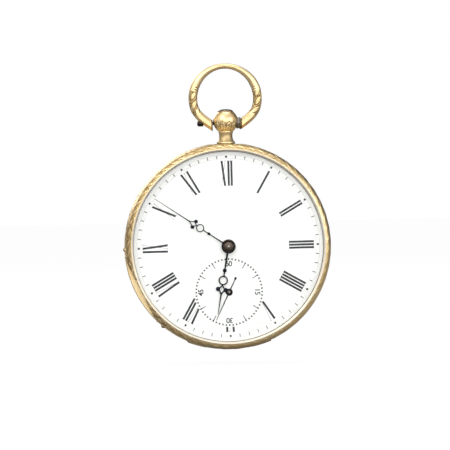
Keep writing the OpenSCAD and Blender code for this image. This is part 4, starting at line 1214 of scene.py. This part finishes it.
def make_studio():
    """A white floor, a white surround for the camera, and soft panels of uneven brightness for the gold."""
    floor_z = cad_low[2] - FLOOR_DROP * MM
    mesh = bpy.data.meshes.new("floor")
    size = 3.0
    corners = [(x * size, y * size, floor_z) for x, y in ((-1, -1), (1, -1), (1, 1), (-1, 1))]
    mesh.from_pydata(corners, [], [(0, 1, 2, 3)])
    floor = bpy.data.objects.new("floor", mesh)
    bpy.context.scene.collection.objects.link(floor)
    made, nodes, link, shader = new_material("pale_floor", Roughness=1.0, Emission_Strength=0.93)
    shader.inputs["Base Color"].default_value = (0.07, 0.07, 0.07, 1)
    shader.inputs["Emission Color"].default_value = (1, 1, 1, 1)
    shader.inputs["Specular IOR Level"].default_value = 0
    # only the camera sees the floor's full white, so that the gold keeps its dark edges
    grey = nodes.new("ShaderNodeBsdfDiffuse")
    grey.inputs["Color"].default_value = (0.30, 0.29, 0.28, 1)
    show_to_camera(nodes, link, shader.outputs["BSDF"], grey.outputs["BSDF"], nodes["Material Output"])
    mesh.materials.append(made)

    world = bpy.data.worlds.new("studio")
    bpy.context.scene.world = world
    world.use_nodes = True
    nodes, link = world.node_tree.nodes, world.node_tree.links.new
    plain = nodes["Background"]
    plain.inputs["Color"].default_value = (1, 1, 1, 1)
    plain.inputs["Strength"].default_value = 1.0
    around = nodes.new("ShaderNodeBackground")
    coords = nodes.new("ShaderNodeTexCoord")
    turn = nodes.new("ShaderNodeVectorTransform")
    turn.vector_type = "VECTOR"
    turn.convert_from = "WORLD"
    turn.convert_to = "CAMERA"
    split = nodes.new("ShaderNodeSeparateXYZ")
    link(coords.outputs["Generated"], turn.inputs["Vector"])
    link(turn.outputs["Vector"], split.inputs["Vector"])
    # the surround turns with the camera: Z runs from behind it to behind the watch, which is dark
    tones = []
    for axis, stops in (
        ("Z", [(0.0, 0.80), (0.25, 0.95), (0.46, 1.0), (0.58, 0.55), (0.70, 0.20), (1.0, 0.06)]),
        ("Y", [(0.0, 0.40), (0.40, 0.60), (0.62, 1.0), (1.0, 0.95)]),
        ("X", [(0.0, 0.95), (0.45, 1.0), (0.75, 0.75), (1.0, 0.60)]),
    ):
        along = arithmetic(nodes, link, "MULTIPLY_ADD", split.outputs[axis], 0.5, 0.5)
        tones.append(ramp(nodes, link, along, stops))
    total = mix_colour(nodes, link, "MULTIPLY", 1.0, tones[0], tones[1])
    total = mix_colour(nodes, link, "MULTIPLY", 1.0, total, tones[2])
    link(total, around.inputs["Color"])
    around.inputs["Strength"].default_value = 1.35
    seen, reflected = plain.outputs["Background"], around.outputs["Background"]
    show_to_camera(nodes, link, seen, reflected, nodes["World Output"])

    middle_point = (Vector(cad_low) + Vector(cad_high)) / 2
    for name, offset, size, power in (
        ("key", (-0.45, -0.60, 0.55), 0.50, 2.2),
        ("front", (0.0, -0.90, 0.05), 0.80, 3.2),
        ("fill", (0.60, -0.60, 0.15), 0.60, 2.3),
        ("top", (0.05, 0.10, 0.75), 0.50, 2.0),
        ("rim", (-0.30, 0.60, 0.30), 0.40, 1.6),
    ):
        light = bpy.data.lights.new(name, "AREA")
        light.size = size
        light.energy = power
        lamp = bpy.data.objects.new(name, light)
        lamp.location = middle_point + Vector(offset)
        lamp.rotation_euler = (middle_point - lamp.location).to_track_quat("-Z", "Y").to_euler()
        bpy.context.scene.collection.objects.link(lamp)


def make_camera():
    """Level with the dial, a little to its left, and rolled so that twelve leans slightly left."""
    distance = 0.70
    azimuth, elevation, roll = math.radians(-2.0), math.radians(0.6), math.radians(-1.0)
    view_width = 92.0 * MM
    # the picture's middle is above the dial's, because the bow and pendant share the frame
    target = place(-0.48, 4.32, MID_Z)
    away = Vector((math.sin(azimuth) * math.cos(elevation), -math.cos(azimuth) * math.cos(elevation),
                   math.sin(elevation)))
    data = bpy.data.cameras.new("camera")
    data.sensor_width = 36
    data.lens = 36 * distance / view_width
    data.clip_start = 0.01
    camera = bpy.data.objects.new("camera", data)
    camera.location = target + away * distance
    look = (target - camera.location).to_track_quat("-Z", "Y").to_matrix().to_4x4()
    camera.matrix_world = Matrix.Translation(camera.location) @ look @ Matrix.Rotation(roll, 4, "Z")
    bpy.context.scene.collection.objects.link(camera)
    bpy.context.scene.camera = camera
    bpy.context.scene.view_settings.view_transform = "Standard"


make_bezel()
make_crystal()
make_band_chasing()
make_hinge_scrolls()
make_back_hinge_ends()
make_back_engraving()
make_pendant()
make_push_piece()
make_bow()
make_bow_fittings()
make_numerals()
make_minute_track()
make_seconds_track()
make_cracks()
make_hands()
make_boss()
finish_kept_nodes()
make_studio()
make_camera()
